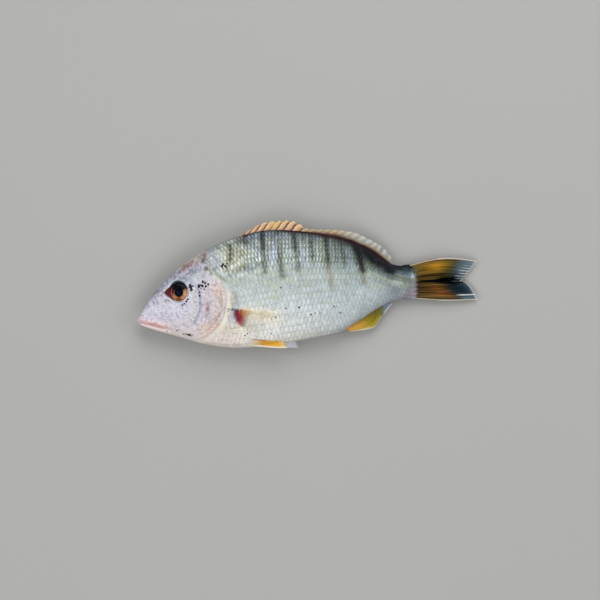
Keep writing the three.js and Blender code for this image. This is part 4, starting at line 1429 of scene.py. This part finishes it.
def lower_lobe(u, v):
    coat = Coat(u, v, gradient(v, [(0, "5c5048"), (0.1, "30281a"), (0.25, "2c220e"), (0.45, "3e2f12"),
                                   (0.58, "342912"), (0.66, "16242c"), (0.86, "20303c"), (1, "43515b")]))
    coat.lay("544426", ramp(0.76, 0.88, u) * band(0.05, 0.15, 0.6, 0.95, v) * 0.85)
    coat.patch("9a5e2c", 0.86, 0.46, 0.045, 0.16, 0.6)
    coat.patch("8e4a1c", 0.68, 0.44, 0.022, 0.12, 0.9)
    coat.patch("7a5220", 0.61, 0.42, 0.03, 0.16, 0.6)
    coat.patch("a45c30", 0.78, 0.5, 0.02, 0.12, 0.7)
    coat.lay("1c1508", fall(0.53, 0.6, u) * 0.8)
    coat.patch("0e1f2b", 0.7, 0.78, 0.13, 0.13, 0.85)
    coat.lay("5f6f7b", ramp(0.88, 0.94, u) * ramp(0.7, 0.85, v) * 0.8)
    return coat.tone


def tail_tone(u, v):
    number, c = cell(u, TAIL["rays"])
    coat = Coat(u, v, lerp(upper_lobe(u, v), lower_lobe(u, v), ramp(0.48, 0.52, u)[..., None]))
    streak = patchy(u * 150, v * 9, 3.0)
    coat.lay("120d06", ramp(0.5, 0.9, streak) * 0.6 * fall(0.7, 0.85, v))
    coat.lay("b08c4a", ramp(0.5, 0.1, streak) * 0.18 * fall(0.6, 0.75, v))
    fold = bell(u - 0.488, lerp(0.016, 0.09, bell(v - 0.7, 0.2))) * ramp(0.08, 0.3, v)
    coat.lay("000101", fold * 1.8)
    # A painted highlight along the outermost rays of the tail.
    coat.lay("dccfbe", fall(0.004, 0.02, np.minimum(u, 1 - u)) * 0.9)
    coat.lay("dfe4e8", ramp(0.965, 0.99, v) * 0.7)
    start = 0.8 + 0.08 * np.sin(3.1 * np.round(number + c))
    lines = ramp(start, start + 0.1, v) * bell(np.minimum(c, 1 - c), 0.12) * bell(u - 0.3, 0.16)
    coat.lay("dbe2e8", lines * 0.8)
    coat.lay("e3e4e6", bell(u - 0.865, 0.014) * ramp(0.68, 0.8, v) * 0.9)
    return coat.tone, 1.0


def pectoral_tone(u, v):
    """A nearly clear fin with a dark red root."""
    _, c = cell(u, PECTORAL["rays"])
    coat = Coat(u, v, gradient(u, [(0, "f4e8c4"), (0.16, "f8f2dc"), (0.4, "fbf8ee"), (1, "faf9f4")]))
    root = gradient(u, [(0, "8a2a2c"), (0.35, "921a2a"), (0.7, "ac4454"), (1, "c47e86")])
    coat.lay(root, fall(0.12, 0.24, v))
    coat.lay("e8b27a", band(0.1, 0.17, 0.22, 0.36, v) * fall(0.16, 0.55, u))
    coat.lay("2d1c38", fall(0.06, 0.13, v) * fall(0.2, 0.6, u) * 0.95)
    coat.lay("e9dfc2", bell(c - 0.5, 0.2) * ramp(0.2, 0.35, v) * 0.3)
    edge = 0.16 * fall(0.0, 0.12, u) * fall(0.4, 0.8, v)
    return coat.tone, np.clip(lerp(0.85, 0.03 + edge, ramp(0.11, 0.21, v)), 0, 1)


def pelvic_coat(u, v):
    _, c = cell(u, PELVIC["rays"])
    coat = Coat(u, v, gradient(v, [(0, "dedad0"), (0.26, "dfccaa"), (0.42, "e0a648"), (0.8, "e0ac3a"),
                                   (1, "d8c48c")]))
    coat.lay("efe8d8", fall(0.1, 0.3, u) * 0.9)
    coat.lay("a9782c", bell(c - 0.5, 0.2) * ramp(0.2, 0.5, v) * 0.35)
    return coat


def pelvic_left_tone(u, v):
    return pelvic_coat(u, v).tone, 1.0


def pelvic_right_tone(u, v):
    coat = pelvic_coat(u, v)
    coat.lay("d8dce8", ramp(0.72, 0.82, v))
    return coat.tone, 1.0


# How far a membrane draws back between two rays, as a share of their length.


def dorsal_notch(u, number):
    split = 0.42 * (number == 20)
    return lerp(0.07, 0.022, ramp(0.38, 0.47, u)) + 0.02 * np.sin(number * 2.3) ** 2 + split


def tail_notch(u, number):
    ragged = bell(u - 0.34, 0.14)
    return 0.012 + ragged * (0.04 + 0.13 * np.sin(number * 2.3) ** 2)


def slight_notch(depth):
    return lambda u, number: depth * (0.6 + 0.8 * np.sin(number * 1.9) ** 2)


def make_fin(label, kind, place, tone, rays, notch, thickness, girth, split, rows=30, per_ray=8):
    """A fin's membrane and its rays, with thickness and girth each given at the root and the tip."""
    slot, material, tree = kind
    web = make_membrane(label + "_membrane", place, rays, notch, thickness, tone, material, rows, per_ray)
    bones = make_rays(label + "_rays", place, ray_lines(rays, **split), tree, tone, girth)
    hand_over(web, slot, label + "_fin")
    hand_over(bones, slot)


def fin_kind(slot, **look):
    """A kind's name, its finish named after it, and the tree that grows rays of that finish."""
    material = fin_finish(slot.replace("fin", "membrane"), **look)
    return slot, material, ray_tree(material)


def make_fins():
    dorsal = fin_kind("dorsal_fin", clear=True)
    ventral = fin_kind("ventral_fin")
    tail = fin_kind("tail_fin", gloss=0.07)
    pectoral = fin_kind("pectoral_fin", clear=True)
    make_fin("dorsal", dorsal, dorsal_place, dorsal_tone, DORSAL["rays"], dorsal_notch, (1.1, 0.45),
             (0.55, 0.18), dict(steps=22, fork=0.5, spread=0.22, spines=DORSAL_SPINES,
                                reach=lambda k: 1.01 + 0.015 * math.sin(k * 2.1)))
    make_fin("anal", ventral, anal_place, anal_tone, ANAL["rays"], slight_notch(0.02), (1.1, 0.5),
             (0.5, 0.18), dict(steps=22, fork=0.55, spread=0.2, spines=ANAL_SPINES))
    make_fin("tail", tail, tail_place, tail_tone, TAIL["rays"], tail_notch, (1.8, 0.5), (0.72, 0.2),
             dict(steps=34, fork=0.4, spread=0.26), rows=46)
    for side, label in SIDES:
        make_fin(label + "_pectoral", pectoral, pectoral_place(side), pectoral_tone, PECTORAL["rays"],
                 slight_notch(0.02), (0.9, 0.3), (0.28, 0.12), dict(steps=26, fork=0.5, spread=0.2),
                 per_ray=6)
    pelvic_fins = [("left_pelvic", PELVIC_LEFT, pelvic_left_tone),
                   ("right_pelvic", PELVIC_RIGHT, pelvic_right_tone)]
    for label, shape, tone in pelvic_fins:
        make_fin(label, ventral, pelvic_place(**shape), tone, PELVIC["rays"], slight_notch(0.03),
                 (1.0, 0.5), (0.5, 0.18), dict(steps=24, fork=0.6, spread=0.2, spines=PELVIC_SPINES))


# ---- Eyes and lateral line ----

EYE_BALL = 7.2
PUPIL_SHIFT = (0.3, -0.3)
SLOPE_REACH = EYE["radius"] + 2.6  # how far from the eye's centre the slope of the cheek is taken
FIBRES = 9  # how fine the fibres of the iris are
LINE_GIRTH = (0.12, 0.22)  # the lateral line's radius between its beads, and what a bead adds


def eye_tone(dx, dy):
    """Colour of the eyeball at an offset from its centre, with painted shade over its top and painted
    highlights.
    """
    px, py = dx - PUPIL_SHIFT[0], dy - PUPIL_SHIFT[1]
    r, angle = np.hypot(px, py), np.arctan2(py, px)
    turned = np.where(angle < 0, angle + 2 * np.pi, angle)
    # Colours round the pupil by angle, painted near black over the top of the eye as shade.
    coat = Coat(dx, dy, gradient(turned, [
        (0, "cfa878"), (0.3, "b98a58"), (0.6, "4a3012"), (1.2, "0a0d10"), (2.5, "120c0c"), (2.95, "34140f"),
        (3.4, "84482c"), (3.9, "c89c72"), (4.5, "93602c"), (4.9, "7e4416"), (5.35, "cb9072"),
        (5.8, "d0a478"), (6.28, "cfa878")]))
    coat.lay("a3683a", bell(r - 3.8, 0.45) * 0.4)
    coat.lay("6b3418", ramp(5.2, 6.4, r) * 0.8)
    pupil = gradient(r, [(0, "0a1645"), (1.2, "081035"), (2.1, "04060f"), (2.9, "040404"), (3.4, "140c06")])
    coat.lay(pupil, fall(3.0, 3.5, r))
    # Painted shade over the top of the ball, with a faint painted reflection across it.
    shaded_top = band(0.45, 0.75, 2.45, 2.85, angle) * ramp(2.4, 3.2, r)
    coat.lay("07100f", shaded_top * 1.2)
    coat.lay("3b3544", shaded_top * bell(r - 5.6, 0.5) * band(0.5, 1.0, 1.5, 2.1, angle))
    coat.lay("2c2a30", bell(r - 3.6, 0.3) * bell(angle - 2.0, 0.9) * 0.8)
    coat.lay("66000e", band(2.75, 3.0, 3.7, 4.2, turned) * ramp(6.0, 6.5, r))
    # A painted pink highlight arc in the red front corner.
    coat.lay("b4707a", bell(turned - 3.3, 0.6) * bell(r - 5.7, 0.4) * 0.95)
    return coat.tone


def make_eye(side, name, material):
    """A flattened ball that leans with the cheek, with a point at each pole."""
    rings, spokes = 55, 96
    tilt = np.arange(1, rings + 1)[:, None] / (rings + 1) * np.pi
    angle = np.arange(spokes)[None, :] / spokes * 2 * np.pi
    dx = EYE_BALL * np.sin(tilt) * np.cos(angle)
    dy = EYE_BALL * np.sin(tilt) * np.sin(angle)
    at, up = EYE["at"], EYE["y"]
    slope_s = flank(at + SLOPE_REACH, up, side) - flank(at - SLOPE_REACH, up, side)
    slope_y = flank(at, up + SLOPE_REACH, side) - flank(at, up - SLOPE_REACH, side)
    lean = (slope_s * dx + slope_y * dy) / 2 / SLOPE_REACH
    centre = float(flank(at, up, side)) + side * (EYE["socket"] + EYE["bulge"] - EYE["depth"])
    points = in_frame(at + dx, up + dy, centre + side * EYE["depth"] * np.cos(tilt) + lean).reshape(-1, 3)
    poles = in_frame(at, up, centre + side * EYE["depth"] * np.array([1, -1]))
    top, low, last = len(points), len(points) + 1, (rings - 1) * spokes
    faces = grid_faces(rings, spokes, wrap=True)
    faces += [(top, k, (k + 1) % spokes) for k in range(spokes)]
    faces += [(low, last + (k + 1) % spokes, last + k) for k in range(spokes)]
    eye = mesh_object(name, np.vstack([points, poles]), faces, material)
    face_out(eye)
    s, y, _ = measures(eye.data)
    dx, dy = s - at, y - up
    set_colour(eye.data, "tone", eye_tone(dx, dy))
    angle = np.arctan2(dy, dx)
    set_vector(eye.data, "fibre", np.stack([FIBRES * np.cos(angle), FIBRES * np.sin(angle),
                                            np.hypot(dx, dy) / 2], axis=-1))
    return eye


def make_lateral_line(side, tree, name):
    """A row of small tubes along the flank."""
    s = np.arange(66, 204, 0.45)
    y = lateral_line(s)
    z = flank(s, y, side) + side * 0.08
    base = line_object(name + "_path", in_frame(s, y, z), [(k, k + 1) for k in range(len(s) - 1)])
    beads = 0.5 + 0.5 * np.sin(s / SCALE_STEP * 2 * np.pi)
    set_value(base.data, "girth", (LINE_GIRTH[0] + LINE_GIRTH[1] * beads) * MM)
    line = grow(base, tree, ROD, name)
    s, y, _ = measures(line.data)
    set_colour(line.data, "tone", cover(skin_tone(s, y), "74725c", 0.05 + 0.25 * ramp(168, 176, s)))
    set_colour(line.data, "marks", skin_marks(s, y))
    line.data.shade_smooth()
    return line


SPECK_CORNERS = 9
SPECK_RISE = (0.05, 0.16)  # how high a speck's edge stands on bare skin, and on scales
SPECK_DOME = 0.08
SPECK_DEPTH = 0.25
SPECK_SEED = 41


def make_specks(side, name, material):
    """Irregular black flecks that lie on the skin and the scales, each a closed low dome."""
    rng = np.random.default_rng(SPECK_SEED + side)
    turn = np.arange(SPECK_CORNERS) / SPECK_CORNERS * 2 * np.pi
    points, faces = [], []
    for number, (at, up, radius) in enumerate(SPECKS):
        reach = radius * rng.uniform(0.7, 1.25, SPECK_CORNERS)
        s, y = at + reach * np.cos(turn), up + reach * np.sin(turn)
        rise = SPECK_RISE[int(scaled_area(np.float64(at), np.float64(up)) > 0)]
        skin_z = flank(s, y, side)
        middle = float(flank(at, up, side)) + side * (rise + SPECK_DOME)
        points += [in_frame(s, y, skin_z - side * SPECK_DEPTH), in_frame(s, y, skin_z + side * rise),
                   in_frame(at, up, middle)[None]]
        under = number * (2 * SPECK_CORNERS + 1)
        edge, peak = under + SPECK_CORNERS, under + 2 * SPECK_CORNERS
        for k in range(SPECK_CORNERS):
            n = (k + 1) % SPECK_CORNERS
            faces.append((under + k, under + n, edge + n, edge + k))
            faces.append((edge + k, edge + n, peak))
        faces.append([under + k for k in reversed(range(SPECK_CORNERS))])
    specks = mesh_object(name, np.vstack(points), faces, material)
    face_out(specks)
    return specks


# ---- Studio ----

# Metres, as the lamps and the camera are outside the fish's own measures.
CAMERA_HEIGHT = 2.0
FOCUS_HEIGHT = 0.014  # the height of the fish at which the frame's width is measured
FRAME_WIDTH = 0.439
AIM = (-0.0056, -0.0115)
FLOOR_REACH = 3.0
LAMP_SIZE = 1.0
WARM, COOL = (1.0, 0.99, 0.97), (0.98, 0.99, 1.0)

# Soft lamps: name, place, power and colour.
LAMPS = [
    ("key", (0.1, 0.95, 0.95), 10.5, WARM),
    ("front", (-0.05, -0.95, 0.95), 7.2, WARM),
    ("left", (-0.95, 0.0, 0.95), 6.0, COOL),
    ("right", (0.95, 0.1, 0.95), 6.0, COOL),
]


def make_studio():
    corners = [(-FLOOR_REACH, -FLOOR_REACH, 0), (FLOOR_REACH, -FLOOR_REACH, 0),
               (FLOOR_REACH, FLOOR_REACH, 0), (-FLOOR_REACH, FLOOR_REACH, 0)]
    floor = mesh_object("floor", corners, [(0, 1, 2, 3)], floor_finish())
    for name, place, power, colour in LAMPS:
        lamp = bpy.data.lights.new(name, "AREA")
        lamp.size = LAMP_SIZE
        lamp.energy = power
        lamp.color = colour
        holder = link_object(name, lamp)
        holder.location = place
        holder.rotation_euler = (-Vector(place)).to_track_quat("-Z", "Y").to_euler()
    world = bpy.data.worlds.new("studio")
    world.use_nodes = True
    sky = world.node_tree.nodes["Background"].inputs
    sky["Color"].default_value = (0.95, 0.97, 1.0, 1.0)
    sky["Strength"].default_value = 0.12
    bpy.context.scene.world = world
    bpy.context.scene.view_settings.view_transform = "Standard"
    lens = bpy.data.cameras.new("camera")
    lens.angle = 2 * math.atan(FRAME_WIDTH / 2 / (CAMERA_HEIGHT - FOCUS_HEIGHT))
    camera = link_object("camera", lens)
    camera.location = (*AIM, CAMERA_HEIGHT)
    bpy.context.scene.camera = camera


# ---- The whole fish ----

skin_material = skin_finish()
hand_over(make_skin(skin_material), "skin", "body")

scale = scale_shape()
scale_rows = scale_tree(scale_finish())
line_tree = ray_tree(skin_material)
eye_material = eye_finish()
speck_material = speck_finish()
for side, label in SIDES:
    hand_over(make_scales(side, label + "_scales", scale_rows, scale), "skin")
    hand_over(make_lateral_line(side, line_tree, label + "_lateral_line"), "skin")
    hand_over(make_specks(side, label + "_specks", speck_material), "skin")
    hand_over(make_eye(side, label + "_eyeball", eye_material), "eye", label + "_eye")
bpy.data.objects.remove(scale)

make_fins()
make_studio()
